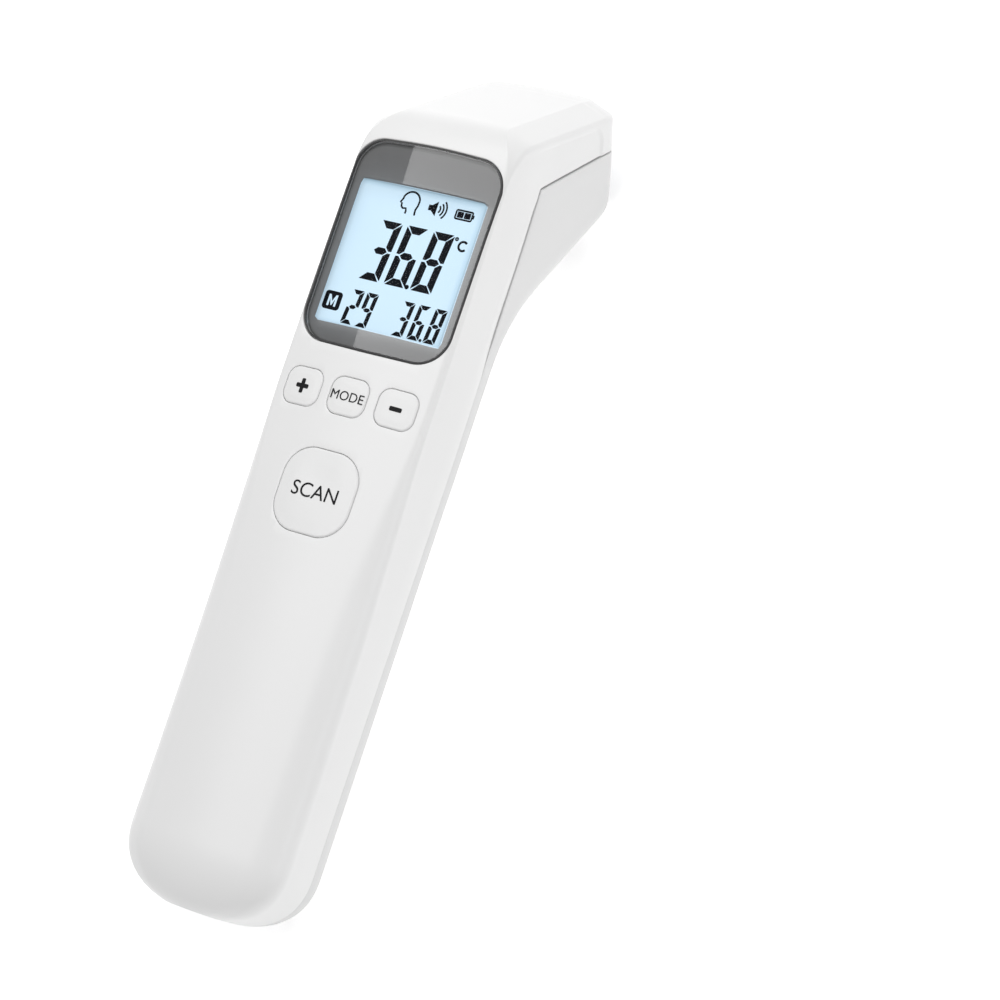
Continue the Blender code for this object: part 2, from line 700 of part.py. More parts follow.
def make_board():
    middle = (0, (BOARD_LOW + BOARD_HIGH) / 2)
    outline = rounded_box(2 * BOARD_HALF, BOARD_HIGH - BOARD_LOW, 1.5 * MM, middle, 2)
    low = BOARD_TOP - BOARD_THICKNESS
    board = solid("main_board", prism(outline, low, BOARD_TOP), FINISH["board"])
    for number, place in enumerate(post_places(), 1):
        hole = rod(1.2 * MM, low - 1 * MM, BOARD_TOP + 1 * MM, 12)
        combine(board, "DIFFERENCE", cutter("board_hole", hole, place))
        profile = [
            (0, low - GAP - 1.2 * MM),
            (1.4 * MM, low - GAP - 1.1 * MM),
            (1.9 * MM, low - GAP - 0.6 * MM),
            (1.9 * MM, low - GAP),
            (0.8 * MM, low - GAP),
            (0.8 * MM, -7 * MM),
            (0, -6.8 * MM),
        ]
        screw = solid(f"board_screw_{number}", turned(profile, 12), FINISH["steel"], place)
        slot = cross_recess(low - 3 * MM, low - GAP - 0.7 * MM)
        combine(screw, "DIFFERENCE", cutter("board_cross", slot, place))
    make_components(low - GAP)


def make_components(top):
    """What stands on the back of the board."""
    dome = [(0, top), (5 * MM, top), (4.6 * MM, top - 0.6 * MM), (3 * MM, top - 1.2 * MM)]
    dome += [(0, top - 1.4 * MM)]
    solid("controller_chip", turned(dome, 24), FINISH["black_part"], Matrix.Translation((0, 117 * MM, 0)))
    chip = box((-9.5 * MM, 98 * MM, top - 1.6 * MM), (-5.5 * MM, 103 * MM, top))
    solid("memory_chip", chip, FINISH["black_part"])
    can = prism(rounded_box(10 * MM, 4 * MM, 1.9 * MM, (5 * MM, 104 * MM)), top - 2.6 * MM, top)
    solid("crystal", can, FINISH["steel"])
    can = [(0, top), (2.5 * MM, top), (2.5 * MM, top - 4.6 * MM), (2.2 * MM, top - 5 * MM)]
    can += [(0, top - 5 * MM)]
    solid("capacitor", turned(can, 20), FINISH["capacitor"], Matrix.Translation((-6 * MM, 88 * MM, 0)))
    shell = [(1 * MM, top - 2 * MM), (1 * MM, top - 3.4 * MM), (5.6 * MM, top - 3.4 * MM)]
    shell += [(6 * MM, top - 3 * MM), (6 * MM, top), (0, top), (0, top - 2 * MM)]
    solid("buzzer", turned(shell, 24), FINISH["black_part"], Matrix.Translation((0, 141 * MM, 0)))


# Power


def make_power():
    make_tray()
    for name, side, way in (("battery_left", -1, 1), ("battery_right", 1, -1)):
        make_cell(name, side, way)
    coil_contact("bridge_spring", -CELL_X, TRAY_LOW + 2.5 * MM, 3 * MM)
    coil_contact("negative_spring", CELL_X, TRAY_LOW + 2.3 * MM + CELL_LENGTH + 0.6 * MM, 3 * MM)
    low = TRAY_LOW + TRAY_WALL + GAP
    z_low, z_high = CELL_Z - 4 * MM, CELL_Z + 4 * MM
    bridge = box((-10 * MM, low, z_low), (10 * MM, low + 0.4 * MM, z_high))
    solid("bridge_plate", bridge, FINISH["nickel"])
    high = TRAY_HIGH - TRAY_WALL - GAP
    for name, x in (("positive_contact", -CELL_X), ("negative_contact", CELL_X)):
        plate = box((x - 4 * MM, high - 0.4 * MM, z_low), (x + 4 * MM, high, z_high))
        solid(name, plate, FINISH["nickel"])
    leads = (("positive_lead", -CELL_X, "red_wire"), ("negative_lead", CELL_X, "black_wire"))
    for name, x, colour in leads:
        route = smooth_route(
            [
                (x, high + GAP, CELL_Z),
                (x, high + 3.5 * MM, CELL_Z),
                (x * 0.8, high + 8 * MM, CELL_Z - 1 * MM),
                (x * 0.6, BOARD_LOW - 2 * MM, BOARD_TOP - 5 * MM),
                (x * 0.6, BOARD_LOW + 2.5 * MM, BOARD_TOP - 4 * MM),
                (x * 0.6, BOARD_LOW + 4 * MM, BOARD_TOP - BOARD_THICKNESS - 0.9 * MM),
            ]
        )
        wire(name, route, 0.55 * MM, FINISH[colour])
    inside = -HANDLE_DEPTH + SIDE_WALL + GAP
    foam = prism(rounded_box(16 * MM, 26 * MM, 1 * MM, (0, 36 * MM), 2), inside, inside + 0.5 * MM)
    solid("door_foam", foam, FINISH["foam"])


def make_tray():
    top = CELL_Z + CELL_RADIUS + GAP + TRAY_WALL
    low = -HANDLE_DEPTH + SIDE_WALL + 0.9 * MM
    block = box((-TRAY_HALF, TRAY_LOW, low), (TRAY_HALF, TRAY_HIGH, top))
    tray = solid("battery_tray", block, FINISH["white_inner"])
    inner = TRAY_HALF - TRAY_WALL
    near, far = TRAY_LOW + TRAY_WALL, TRAY_HIGH - TRAY_WALL
    pocket = box((-inner, near, low - 2 * MM), (inner, far, top - TRAY_WALL))
    combine(tray, "DIFFERENCE", cutter("tray_pocket", pocket))
    for side in (-1, 1):
        place = Matrix.Translation((side * CELL_X, 0, CELL_Z)) @ Matrix.Rotation(-pi / 2, 4, "X")
        hole = rod(0.9 * MM, TRAY_HIGH - 3 * MM, TRAY_HIGH + 1 * MM, 12)
        combine(tray, "DIFFERENCE", cutter("lead_hole", hole, place))


def make_cell(name, side, way):
    """An AAA cell on its side, with its button towards +Y when way is 1."""
    can = CELL_LENGTH - 0.8 * MM
    profile = [(0, 0), (4.7 * MM, 0), (CELL_RADIUS, 0.4 * MM), (CELL_RADIUS, can - 0.4 * MM)]
    profile += [(4.7 * MM, can), (1.9 * MM, can), (1.9 * MM, can + 0.7 * MM)]
    profile += [(1.7 * MM, CELL_LENGTH), (0, CELL_LENGTH)]
    start = TRAY_LOW + (6.2 * MM if way > 0 else 2.3 * MM + CELL_LENGTH)
    turn = Matrix.Rotation(-way * pi / 2, 4, "X")
    place = Matrix.Translation((side * CELL_X, start, CELL_Z)) @ turn
    solid(name, turned(profile, 24), FINISH["battery"], place)


def coil_contact(name, x, y, length):
    """A tapered coil between a contact plate and a cell."""
    turns, per_turn = 3.5, 12
    count = int(turns * per_turn)
    points = []
    for k in range(count + 1):
        angle, t = 2 * pi * k / per_turn, k / count
        radius = mix(3.4 * MM, 2.4 * MM, t)
        points.append((x + radius * cos(angle), y + length * t, CELL_Z + radius * sin(angle)))
    wire(name, points, 0.3 * MM, FINISH["nickel"])


# Sensor


def make_sensor():
    place = sensor_matrix()
    bezel = solid("sensor_bezel", loft(cavity_rings(GAP)), FINISH["grey_part"])
    end = box((-25 * MM, -25 * MM, -8 * MM), (25 * MM, 25 * MM, 4 * MM))
    combine(bezel, "INTERSECT", cutter("bezel_end", end, place))
    for operation, depth in (("INTERSECT", BEZEL_SUNK), ("DIFFERENCE", BEZEL_SUNK + BEZEL_THICKNESS)):
        inwards = Matrix.Translation(sensor_axis() * -depth)
        combine(bezel, operation, cutter("bezel_face", loft(body_rings()), inwards))
    mouth = rod(MOUTH_RADIUS + 0.9 * MM, -10 * MM, 5 * MM, 32)
    combine(bezel, "DIFFERENCE", cutter("bezel_mouth", mouth, place))
    lip = MOUTH_RADIUS + 0.6 * MM
    cone = [(MOUTH_RADIUS, -1.1 * MM), (lip, -1.1 * MM), (lip, -2.8 * MM), (3.6 * MM, -8.6 * MM)]
    cone += [(2.6 * MM, -8.6 * MM), (2.6 * MM, -7.8 * MM)]
    solid("sensor_cone", turned(cone, 32), FINISH["chrome"], place)
    holder = [(3.15 * MM, -8.9 * MM), (8 * MM, -8.9 * MM), (8 * MM, -10.1 * MM), (5.6 * MM, -10.1 * MM)]
    holder += [(5.6 * MM, -14.6 * MM), (3.15 * MM, -14.6 * MM)]
    solid("sensor_holder", turned(holder, 24), FINISH["white_inner"], place)
    can = [(0, -9.6 * MM), (2.3 * MM, -9.6 * MM), (2.3 * MM, -13.2 * MM), (2.8 * MM, -13.2 * MM)]
    can += [(2.8 * MM, -13.8 * MM), (0, -13.8 * MM)]
    solid("thermopile_can", turned(can, 24), FINISH["steel"], place)
    disc = rod(2 * MM, -9.3 * MM, -9.0 * MM, 24)
    solid("thermopile_window", disc, FINISH["filter"], place)
    card = rounded_box(12 * MM, 10 * MM, 1 * MM, steps=2)
    solid("sensor_board", prism(card, -16 * MM, -14.9 * MM), FINISH["board"], place)
    make_ribbon(place)


def make_ribbon(place):
    """A flat cable from the sensor board to the main board."""
    start = place @ Vector((0, 0, -16.3 * MM))
    step = place @ Vector((0, 0, -18.5 * MM))
    end = Vector((0, BOARD_HIGH - 6 * MM, BOARD_TOP - BOARD_THICKNESS - GAP - 0.25 * MM))
    route = smooth_route(
        [start, step, (0, step.y - 3 * MM, step.z + 5 * MM), (0, end.y + 3.5 * MM, end.z - 1.5 * MM), end]
    )
    thick, half = 0.25 * MM, 3 * MM
    rings = []
    for k, point in enumerate(route):
        ahead, behind = route[min(k + 1, len(route) - 1)], route[max(k - 1, 0)]
        along = (ahead - behind).normalized()
        out = Vector((0, -along.z, along.y)) * thick
        across = Vector((half, 0, 0))
        corners = (across + out, out - across, -across - out, across - out)
        rings.append([point + corner for corner in corners])
    solid("sensor_ribbon", loft(rings), FINISH["ribbon"])


FINISH = {}


def make_finishes():
    FINISH.update(
        white_shell=finish("white_shell", (0.86, 0.86, 0.86), 0.28),
        white_inner=finish("white_inner", (0.80, 0.80, 0.79), 0.5),
        button=finish("button", (0.87, 0.87, 0.87), 0.32),
        lens=finish("lens", (0.22, 0.22, 0.23), 0.08),
        display=finish("display", (0.68, 0.87, 0.93), 0.15),
        light_guide=finish("light_guide", (0.85, 0.90, 0.92), 0.3),
        led=finish("led", (0.92, 0.90, 0.75), 0.3),
        rubber=finish("rubber", (0.35, 0.35, 0.37), 0.8),
        board=finish("board", (0.03, 0.24, 0.10), 0.45),
        black_part=finish("black_part", (0.02, 0.02, 0.022), 0.4),
        switch_stem=finish("switch_stem", (0.05, 0.05, 0.05), 0.5),
        capacitor=finish("capacitor", (0.05, 0.07, 0.20), 0.35),
        battery=finish("battery", (0.10, 0.11, 0.13), 0.3),
        nickel=finish("nickel", (0.72, 0.70, 0.66), 0.25, 1.0),
        steel=finish("steel", (0.60, 0.60, 0.61), 0.3, 1.0),
        chrome=finish("chrome", (0.83, 0.83, 0.84), 0.08, 1.0),
        filter=finish("filter", (0.05, 0.05, 0.07), 0.1),
        grey_part=finish("grey_part", (0.30, 0.31, 0.33), 0.4),
        ribbon=finish("ribbon", (0.75, 0.75, 0.73), 0.5),
        foam=finish("foam", (0.08, 0.08, 0.085), 0.95),
        red_wire=finish("red_wire", (0.62, 0.04, 0.03), 0.4),
        black_wire=finish("black_wire", (0.02, 0.02, 0.02), 0.4),
        cutter=finish("cutter", (1.0, 0.5, 0.1), 0.5),
    )


def main():
    clear_scene()
    make_finishes()
    device = bpy.data.objects.new("device", None)
    bpy.context.scene.collection.objects.link(device)
    device.matrix_world = resting_place()
    make_shells()
    make_display()
    for button in BUTTONS:
        make_button(button)
    make_board()
    make_power()
    make_sensor()


main()
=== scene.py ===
"""Non-contact forehead thermometer, lying on its back on a pale floor.

Shapes are made in the device frame, in metres: X to the right, Y up the handle and Z out of the
display, from the middle of the handle's foot in the plane of the front face.
"""

import json
from collections import namedtuple
from math import asin, atan2, cos, hypot, pi, radians, sin, sqrt, tan

import bmesh
import bpy
from mathutils import Matrix, Vector


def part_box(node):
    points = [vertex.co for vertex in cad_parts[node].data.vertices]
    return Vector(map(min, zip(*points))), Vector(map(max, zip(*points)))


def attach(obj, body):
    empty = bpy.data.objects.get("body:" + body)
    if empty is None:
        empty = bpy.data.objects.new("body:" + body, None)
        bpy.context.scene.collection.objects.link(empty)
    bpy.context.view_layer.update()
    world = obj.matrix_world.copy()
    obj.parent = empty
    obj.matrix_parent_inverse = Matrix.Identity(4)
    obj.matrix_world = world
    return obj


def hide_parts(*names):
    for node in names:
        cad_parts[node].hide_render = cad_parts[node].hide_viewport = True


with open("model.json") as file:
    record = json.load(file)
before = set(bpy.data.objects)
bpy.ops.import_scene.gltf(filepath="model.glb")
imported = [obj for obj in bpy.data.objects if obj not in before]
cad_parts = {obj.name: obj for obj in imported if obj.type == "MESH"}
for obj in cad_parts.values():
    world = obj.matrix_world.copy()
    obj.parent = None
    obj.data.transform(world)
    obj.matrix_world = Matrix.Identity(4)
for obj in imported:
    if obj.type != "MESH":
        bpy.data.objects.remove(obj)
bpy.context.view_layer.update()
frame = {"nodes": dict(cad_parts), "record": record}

MM = 0.001

# The body in its plane of symmetry
HANDLE_DEPTH = 22.4 * MM
ROOF_CORNER = 168.3 * MM
ROOF_TILT = radians(32)
ROOF_LENGTH = 44.3 * MM
ROLL_RADIUS = 12.4 * MM
BACK_CORNER = 131 * MM
UNDERSIDE_TILT = radians(34.4)
UNDERSIDE_LENGTH = 48.5 * MM
HOLLOW_RADIUS = 38 * MM

# Half widths of the body
FOOT_HALF = 19.7 * MM
LENS_HALF = 19.35 * MM
HEAD_HALF = 18.9 * MM
LENS_FOOT = 120 * MM

# The rounded ends
FOOT_ROUND = 14.5 * MM
FOOT_POWER = 2.4
FOOT_FRONT = 6.8 * MM
FOOT_BACK = 5.8 * MM
FOOT_END = 0.97
REAR_ROUND = 6.5 * MM
REAR_FRONT = 1.1 * MM
REAR_BACK = 2.4 * MM
REAR_DOME = 60 * MM
REAR_CORNER = 4.2 * MM

# The section's front edge, on the handle, beside the lens and on the head
CROWN = (56 * MM, 72 * MM, 300 * MM)
EDGE_IN = (5.9 * MM, 1.1 * MM, 6.4 * MM)
EDGE_DOWN = (2.8 * MM, 2.4 * MM, 2.7 * MM)
EDGE_DRAFT = (0.4 * MM, 0.6 * MM, 0.4 * MM)
EDGE_RADII = ((12 * MM, 8 * MM), (1.5 * MM, 2.5 * MM), (0.8 * MM, 1.2 * MM))
REAR_EDGE_RADIUS = 6.6 * MM
SOFT_TO = 112 * MM
SOFT_OVER = 55 * MM
WIDEST_AT = 0.62  # how far down the side the section is widest
SIDE_BOW = 90 * MM
BACK_DRAFT = 0.4 * MM
SKIN = 0.04 * MM  # how far the shells' surface lies inside the CAD's, to stay in its box

# Walls and the seam between the two shells
SIDE_WALL = 1.5 * MM
FRONT_WALL = 3 * MM
ROOF_WALL = 1.8 * MM
GAP = 0.3 * MM
SEAM = ((-6 * MM, -16.2 * MM), (122 * MM, -16.2 * MM), (162.6 * MM, -15.1 * MM))
SEAM_TILT = radians(36.6)
SEAM_RUN = 60 * MM
SEAM_LIPS = (0.1 * MM, 0.3 * MM)
SEAM_OPENS = 154 * MM
SEAM_OPENS_OVER = 8 * MM
SEAM_GAPS = (0.002 * MM, 0.28 * MM)  # on the handle and on the head

# The sunk panel on each side of the head, along and below the roof
PANEL_TOP = 4.2 * MM
PANEL_END = 34.9 * MM
PANEL_START = 3 * MM
PANEL_FADE = 12 * MM
PANEL_CORNER = 3 * MM
PANEL_DEPTH = 0.28 * MM
PANEL_STEP = 0.55 * MM
ROOF_CREASE = 36 * MM
ROOF_CREASE_DEPTH = 0.22 * MM
ROOF_CREASE_STEP = 0.8 * MM

# The bevel along the seam under the neck
BEVEL_LOW = 120 * MM
BEVEL_HIGH = 161 * MM
BEVEL_FADES = (12 * MM, 4 * MM)
BEVEL_WIDTH = 2.4 * MM
BEVEL_DEPTH = 0.3 * MM

# Display
LENS_LOW = 118.4 * MM
LENS_TOP = 162.8 * MM
LENS_HALF_LOW = 17.8 * MM
LENS_HALF_TOP = 17.9 * MM
LENS_ARCH = 0.6 * MM
LENS_ARCH_RADIUS = 200 * MM
LENS_CORNERS = (7 * MM, 6.4 * MM)
LENS_THICKNESS = 1.2 * MM
LENS_SUNK = 0.15 * MM
LENS_EDGE = 0.38 * MM
PRINT_DEPTH = 1.42 * MM
DISPLAY_MIDDLE = 138.4 * MM
DISPLAY_WIDTH = 30.8 * MM
DISPLAY_HEIGHT = 31.4 * MM
POCKET_GAP = 0.15 * MM
WINDOW_MARGIN = 1.8 * MM
LCD_FACE = -3.5 * MM
LCD_SHIFT = -1.2 * MM
VIEW_SHIFT = 0.6 * MM  # how far the coated part of the window sits to the right

# Buttons
Button = namedtuple("Button", "name x y width height corner shelf")
BUTTONS = (
    Button("scan", 0, 87.8 * MM, 18 * MM, 17.8 * MM, 6.4 * MM, 4.1 * MM),
    Button("plus", -11.4 * MM, 108.3 * MM, 9 * MM, 8 * MM, 2.6 * MM, 5.9 * MM),
    Button("mode", 0, 108.3 * MM, 9 * MM, 8 * MM, 2.6 * MM, 3.6 * MM),
    Button("minus", 11.4 * MM, 108.3 * MM, 9 * MM, 8 * MM, 2.6 * MM, 5.9 * MM),
)
BUTTON_GAP = 0.08 * MM
BUTTON_RISE = 0.12 * MM
BUTTON_EDGE = 0.45 * MM
BUTTON_CROWN = 0.1 * MM
DIMPLE_DEPTH = 0.3 * MM
DIMPLE_REACH = 7 * MM
DIMPLE_SHIFT = 3.4 * MM
HOLE_LIP = 0.22 * MM
HOLE_BOTTOM = -9 * MM
LEGENDS = {"scan": ("SCAN", 10.9 * MM), "mode": ("MODE", 7.8 * MM)}

# Battery door
DOOR_TOP = 64 * MM
DOOR_HALF = 14.3 * MM
DOOR_DEPTH = 4.6 * MM
DOOR_CORNER = 2.5 * MM
DOOR_REACH = 30 * MM  # how far its block runs past the foot
GRIP_GROOVES = 7
GRIP_STEP = 1.9 * MM
SCREW_HOLE_RADIUS = 2.5 * MM

# Sensor
SENSOR_SHIFT = -0.4 * MM
MOUTH_RADIUS = 6.3 * MM
BEZEL_THICKNESS = 3 * MM
BEZEL_SUNK = 0.4 * MM
CONE_RIM = 0.6 * MM
CONE_END = 2.6 * MM
CONE_DEPTH = 8.6 * MM

# The picture's digits lean, and the camera's place and directions are in the device frame
DIGIT_SLANT = 0.085
CAMERA_PLACE = Vector((317.3, 28.1, 514.5)) * MM
CAMERA_RIGHT = Vector((0.8519, 0.3184, -0.4157))
CAMERA_BACK = Vector((0.4701, -0.1156, 0.875))
CAMERA_LENS = 108

SMOOTH_ANGLE = radians(32)

# Where the roll above the lens starts, and how far along the back its rib ends, as a share
ROLL_START = ROOF_CORNER - ROLL_RADIUS * tan((pi / 2 - ROOF_TILT) / 2)
HOLLOW_START = BACK_CORNER - HOLLOW_RADIUS * tan(UNDERSIDE_TILT / 2)
HOLLOW_SHARE = (HOLLOW_START - FOOT_ROUND) / (ROLL_START - FOOT_ROUND)

Rib = namedtuple("Rib", "front back head narrow top bottom")


def mix(low, high, t):
    return low + (high - low) * t


def ease(t):
    t = min(max(t, 0), 1)
    return t * t * (3 - 2 * t)


def fillet(before, corner, after, radius, steps):
    """The arc that rounds one corner of a path of 2D points."""
    into, out = before - corner, after - corner
    half = into.angle(out, pi) / 2
    if half > pi / 2 - 1e-3:
        reach = into.normalized() * 0.05 * MM
        return [corner + reach * mix(1, -1, k / steps) for k in range(steps + 1)]
    reach = min(radius / tan(half), 0.45 * into.length, 0.45 * out.length)
    radius = reach * tan(half)
    start = corner + into.normalized() * reach
    end = corner + out.normalized() * reach
    centre = corner + (into.normalized() + out.normalized()).normalized() * radius / sin(half)
    first = atan2(start.y - centre.y, start.x - centre.x)
    turn = (atan2(end.y - centre.y, end.x - centre.x) - first + pi) % (2 * pi) - pi
    angles = [first + turn * k / steps for k in range(steps + 1)]
    return [centre + Vector((cos(a), sin(a))) * radius for a in angles]


def rounded_outline(corners, radii, steps):
    points = []
    for i, radius in enumerate(radii):
        trio = [Vector(corners[(i + k) % len(corners)]) for k in (-1, 0, 1)]
        points += fillet(*trio, radius, steps)
    return points


def rounded_box(width, height, radius, centre=(0, 0), steps=12):
    x, y = width / 2, height / 2
    corners = [(-x, -y), (x, -y), (x, y), (-x, y)]
    corners = [(a + centre[0], b + centre[1]) for a, b in corners]
    return rounded_outline(corners, [radius] * 4, steps)


def circle(radius, steps, centre=(0, 0)):
    turns = [2 * pi * k / steps for k in range(steps)]
    return [Vector((centre[0] + radius * cos(a), centre[1] + radius * sin(a))) for a in turns]


def resample(points, count):
    """The same path with points at even distances."""
    lengths = [0]
    for a, b in zip(points, points[1:]):
        lengths.append(lengths[-1] + (b - a).length)
    path, k = [], 0
    for i in range(count + 1):
        place = lengths[-1] * i / count
        while k < len(points) - 2 and lengths[k + 1] < place:
            k += 1
        span = lengths[k + 1] - lengths[k]
        path.append(points[k].lerp(points[k + 1], (place - lengths[k]) / span if span else 0))
    return path


# The body's surface


def by_zone(values, soft, head):
    """A value blended from those on the handle, beside the lens and on the head."""
    return mix(mix(values[1], values[0], soft), values[2], head)


def half_section(half_width, height, head, soft, side_wall, front_wall, fine):
    """The right half of a section as two paths of (x, depth): the face, then the side and back."""
    width = half_width - side_wall
    depth = height - front_wall - side_wall
    crown = by_zone(CROWN, soft, head)
    edge = width - by_zone(EDGE_IN, soft, head)
    near = Vector((edge * 2 / 3, (edge * 2 / 3) ** 2 / 2 / crown))
    shoulder = Vector((edge, edge**2 / 2 / crown))
    draft, down = by_zone(EDGE_DRAFT, soft, head), by_zone(EDGE_DOWN, soft, head)
    side = Vector((width - draft, shoulder.y + down))
    widest = Vector((width, max(side.y + 1 * MM, WIDEST_AT * depth)))
    rear = Vector((width - BACK_DRAFT, depth))
    middle = Vector((0, depth))
    radii = [by_zone([pair[i] for pair in EDGE_RADII], soft, head) for i in (0, 1)]
    steps = 12 if fine else 3
    bend = fillet(near, shoulder, side, radii[0], steps)
    bow = bend[0].y / bend[0].x ** 2
    count = 20 if fine else 4
    flat = [Vector((bend[0].x * k / count, (bend[0].x * k / count) ** 2 * bow)) for k in range(count)]
    face = flat + bend + fillet(shoulder, side, widest, radii[1], steps)
    tail = [face[-1]] + fillet(side, widest, rear, SIDE_BOW, steps)
    tail += fillet(widest, rear, middle, REAR_EDGE_RADIUS, steps) + [middle]
    lift = Vector((0, front_wall))
    return [p + lift for p in face], [p + lift for p in tail]


def side_paths(steps):
    """The roll above the lens, the hollow behind it and the head's two ends, in the side view."""
    roof = Vector((sin(ROOF_TILT), -cos(ROOF_TILT)))
    under = Vector((cos(UNDERSIDE_TILT), -sin(UNDERSIDE_TILT)))
    foot_front, foot_back = Vector((0, 0)), Vector((0, -HANDLE_DEPTH))
    front_corner = Vector((ROOF_CORNER, 0))
    back_corner = Vector((BACK_CORNER, -HANDLE_DEPTH))
    roof_end = front_corner + roof * ROOF_LENGTH
    under_end = back_corner + under * UNDERSIDE_LENGTH
    roll = fillet(foot_front, front_corner, roof_end, ROLL_RADIUS, steps)
    hollow = fillet(foot_back, back_corner, under_end, HOLLOW_RADIUS, steps)
    return roll, hollow, roof_end, under_end


def rear_plan():
    """The head's end in plan, as (share of the half width, distance before its furthest point)."""
    dome = HEAD_HALF**2 / 2 / REAR_DOME
    inner = Vector((HEAD_HALF / 2, dome / 4))
    before = Vector((HEAD_HALF, 3 * REAR_ROUND))
    corner = fillet(before, Vector((HEAD_HALF, dome)), inner, REAR_CORNER, 12)
    shares = [corner[-1].x / HEAD_HALF * (1 - k / 16) for k in range(1, 16)]
    plan = [(p.x / HEAD_HALF, p.y) for p in corner]
    return plan + [(s, (s * HEAD_HALF) ** 2 / 2 / REAR_DOME) for s in shares]


def body_ribs(fine=True, foot_wall=0):
    """The ribs of the body from its foot to the head's end, each between two points (y, z)."""
    foot_steps, handle_steps, roll_steps, head_steps = (26, 56, 30, 64) if fine else (5, 6, 6, 1)
    roll, hollow, roof_end, under_end = side_paths(roll_steps)
    ribs = []
    for k in range(foot_steps):
        t = FOOT_END * cos(k / foot_steps * pi / 2)
        y = foot_wall + (FOOT_ROUND - foot_wall) * (1 - t)
        narrow = (1 - t**FOOT_POWER) ** (1 / FOOT_POWER)
        loss = 1 - sqrt(1 - t**2)
        ends = Vector((y, 0)), Vector((y, -HANDLE_DEPTH))
        ribs.append(Rib(*ends, 0, narrow, FOOT_FRONT * loss, FOOT_BACK * loss))
    for k in range(handle_steps):
        y_front = mix(FOOT_ROUND, roll[0].x, k / handle_steps)
        y_back = mix(FOOT_ROUND, hollow[0].x, k / handle_steps)
        ribs.append(Rib(Vector((y_front, 0)), Vector((y_back, -HANDLE_DEPTH)), 0, 1, 0, 0))
    for k in range(roll_steps + 1):
        ribs.append(Rib(roll[k], hollow[k], ease(k / roll_steps), 1, 0, 0))
    span = (roof_end - roll[-1]).length
    for k in range(1, head_steps + 1):
        place = (1 - REAR_ROUND / span) * k / head_steps
        ribs.append(Rib(roll[-1].lerp(roof_end, place), hollow[-1].lerp(under_end, place), 1, 1, 0, 0))
    for share, before_end in rear_plan():
        place = 1 - before_end / span
        loss = 1 - sqrt(1 - (1 - min(before_end / REAR_ROUND, 1)) ** 2)
        ends = roll[-1].lerp(roof_end, place), hollow[-1].lerp(under_end, place)
        ribs.append(Rib(*ends, 1, share if fine else 1, REAR_FRONT * loss, REAR_BACK * loss))
    return ribs


def half_width_at(y):
    if y < LENS_FOOT:
        return mix(FOOT_HALF, LENS_HALF, y / LENS_FOOT)
    return mix(LENS_HALF, HEAD_HALF, ease((y - LENS_FOOT) / (ROOF_CORNER - LENS_FOOT)))


def placed(rib, half_path):
    """A closed ring of device-frame points from the right half of a section."""
    run = rib.back - rib.front
    height = run.length
    down = run / height
    squeeze = (height - rib.top - rib.bottom) / height
    points = []
    for x, depth in half_path:
        spot = rib.front + down * (rib.top + depth * squeeze)
        points.append((x * rib.narrow, spot.x, spot.y))
    inner = points[1:-1] if points[-1][0] == 0 else points[1:]
    return points + [(-x, y, z) for x, y, z in reversed(inner)]


def rib_section(rib, side_wall=0, front_wall=0, fine=True):
    height = (rib.back - rib.front).length
    soft = ease((SOFT_TO - rib.front.x) / SOFT_OVER)
    half = half_width_at(rib.front.x)
    return half_section(half, height, rib.head, soft, side_wall, front_wall, fine)


def whole_rings():
    rings = []
    for rib in body_ribs():
        face, tail = rib_section(rib)
        rings.append(placed(rib, face + tail[1:]))
    return rings


def cavity_rings(extra=0):
    """The rings of the space inside, which runs out through the head's end."""
    rings = []
    for rib in body_ribs(False, 2 * MM):
        front_wall = mix(FRONT_WALL, ROOF_WALL, rib.head)
        face, tail = rib_section(rib, SIDE_WALL + extra, front_wall + extra, False)
        rings.append(placed(rib, face + tail[1:]))
    step = sensor_axis() * 3 * MM
    rings.append([tuple(Vector(p) + step) for p in rings[-1]])
    return rings


def sensor_axis():
    _, _, roof_end, under_end = side_paths(1)
    along = (roof_end - under_end).normalized()
    return Vector((0, along.y, -along.x))


def sensor_matrix():
    """The frame at the middle of the sensor's mouth, with Z along the sensor's view."""
    _, _, roof_end, under_end = side_paths(1)
    middle = roof_end.lerp(under_end, 0.5) + (under_end - roof_end).normalized() * SENSOR_SHIFT
    axis = sensor_axis()
    turn = atan2(-axis.y, axis.z)
    return Matrix.Translation((0, middle.x, middle.y)) @ Matrix.Rotation(turn, 4, "X")


def front_height(x, y):
    """The height of the front face. The ribs lean towards the foot, so a crowned point slides down."""
    rib_y = y
    for _ in range(4):
        soft = ease((SOFT_TO - rib_y) / SOFT_OVER)
        past = min(max(0, rib_y - ROLL_START), ROLL_RADIUS)
        head = ease(asin(past / ROLL_RADIUS) / (pi / 2 - ROOF_TILT))
        lean = (min(rib_y, ROLL_START) - FOOT_ROUND) * (1 - HOLLOW_SHARE)
        height = hypot(lean, HANDLE_DEPTH)
        depth = x**2 / 2 / by_zone(CROWN, soft, head)
        rib_y = y + depth * lean / height
    return -depth * HANDLE_DEPTH / height - ROLL_RADIUS + sqrt(ROLL_RADIUS**2 - past**2)


def on_face(points, rise):
    """Points at a height above the front face."""
    return [(p.x, p.y, front_height(p.x, p.y) + rise) for p in points]


# The seam and the shells


def seam_points(shift):
    """The seam as (y, z), moved by a shift towards the front."""
    last = Vector(SEAM[-1])
    run = Vector((sin(SEAM_TILT), -cos(SEAM_TILT))) * SEAM_RUN
    head_normal = Vector((cos(SEAM_TILT), sin(SEAM_TILT)))
    handle_normal = Vector((0, 1))
    bend = (head_normal + handle_normal).normalized()
    bend /= bend.dot(handle_normal)
    points = [Vector(p) + handle_normal * shift for p in SEAM[:-1]]
    return points + [last + bend * shift, last + run + head_normal * shift]


